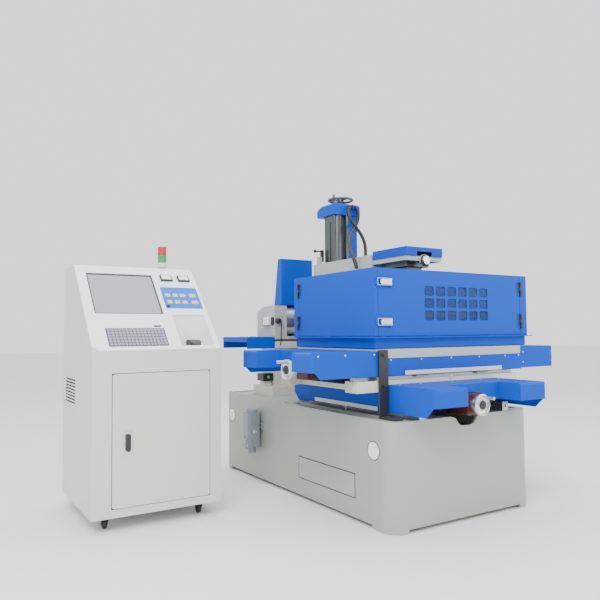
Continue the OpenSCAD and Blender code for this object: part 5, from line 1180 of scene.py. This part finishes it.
    def dress(self) -> None:
        """Coats the cabinet's nodes."""
        CABINET.coat("cabinet_shell", "cabinet_door", "power_unit")
        PANEL.coat("console_panel")
        SCREEN.coat("monitor")
        KEY_TRAY.coat("keyboard")
        KEYS.coat("keyboard_keys")
        PLASTIC.coat("mouse", "door_handle")
        BLACK.coat("rear_caster_brackets", "caster_fork_left", "caster_fork_right")
        TREAD.coat("caster_wheel_left", "caster_wheel_right", "rear_caster_wheels")


@dataclass
class Studio:
    """Pale floor, soft lights and the camera."""

    yaw: float = 31.875
    pitch: float = 2.918
    roll: float = -0.454
    lens: float = 36.84
    eye: Point = (-1938.6, -2290.5, 983.7)
    sensor_w: float = 36
    far: float = 100
    floor_half: float = 30
    sky: float = 1.5
    aim: Point = (0, 0, 0.8)
    # Name, place and width in metres, and power in watts.
    lamps: tuple[tuple[str, Point, float, float], ...] = (
        ("key", (-3.2, -3.2, 4.2), 3.0, 260), ("fill", (3.5, -3.5, 2.6), 3.0, 70),
        ("top", (0, 0.5, 5.0), 4.0, 120))

    def camera(self) -> None:
        """Stands the camera at the photograph's place and turns it by yaw, pitch and roll."""
        data = bpy.data.cameras.new("view")
        data.lens = self.lens
        data.sensor_width = self.sensor_w
        data.sensor_fit = "HORIZONTAL"
        data.clip_end = self.far
        camera = bpy.data.objects.new("view", data)
        bpy.context.scene.collection.objects.link(camera)
        yaw, pitch, roll = (math.radians(a) for a in (self.yaw, self.pitch, self.roll))
        ahead = np.array([math.sin(yaw) * math.cos(pitch), math.cos(yaw) * math.cos(pitch), math.sin(pitch)])
        right = np.array([math.cos(yaw), -math.sin(yaw), 0])
        up = np.cross(right, ahead)
        right, up = (math.cos(roll) * right + math.sin(roll) * up,
                     math.cos(roll) * up - math.sin(roll) * right)
        matrix = np.eye(4)
        matrix[:3, 0], matrix[:3, 1], matrix[:3, 2] = right, up, -ahead
        matrix[:3, 3] = mm(*self.eye)
        camera.matrix_world = Matrix(matrix.tolist())
        bpy.context.scene.camera = camera

    def floor(self) -> None:
        """A wide pale floor sheet under the part."""
        mesh = bpy.data.meshes.new("floor")
        half = self.floor_half
        corners = [(-half, -half, 0), (half, -half, 0), (half, half, 0), (-half, half, 0)]
        mesh.from_pydata(corners, [], [(0, 1, 2, 3)])
        floor = bpy.data.objects.new("floor", mesh)
        bpy.context.scene.collection.objects.link(floor)
        coat = Finish("studio_floor", (0.86, 0.86, 0.86), rough=0.6, edge=0.0, dust=0.0, cloud=0.0, skin=0.0)
        mesh.materials.append(coat.material())

    def lights(self) -> None:
        """A bright even world and three large soft lights."""
        world = bpy.data.worlds.new("studio")
        world.use_nodes = True
        back = world.node_tree.nodes["Background"]
        back.inputs["Color"].default_value = (1, 1, 1, 1)
        back.inputs["Strength"].default_value = self.sky
        bpy.context.scene.world = world
        for name, place, size, power in self.lamps:
            data = bpy.data.lights.new(name, "AREA")
            data.size = size
            data.energy = power
            light = bpy.data.objects.new(name, data)
            light.location = place
            target = np.array(self.aim) - np.array(place)
            light.rotation_euler = (math.atan2(math.hypot(*target[:2]), -target[2]), 0,
                                    math.atan2(target[1], target[0]) - math.pi / 2)
            bpy.context.scene.collection.objects.link(light)

    def build(self) -> None:
        """Sets camera, floor and lights."""
        self.camera()
        self.floor()
        self.lights()


def main() -> None:
    """Builds and dresses every sub-assembly."""
    logging.basicConfig(level=logging.INFO, format="%(name)s: %(message)s")
    Studio().build()
    for part in (ColumnUnit(), Bed(), DriveWheels(), SlideTable(), SplashGuard(), DrumUnit(),
                 ControlCabinet()):
        part.build()
        part.dress()
        LOG.info("%s done", type(part).__name__)


if __name__ == "__main__":
    main()
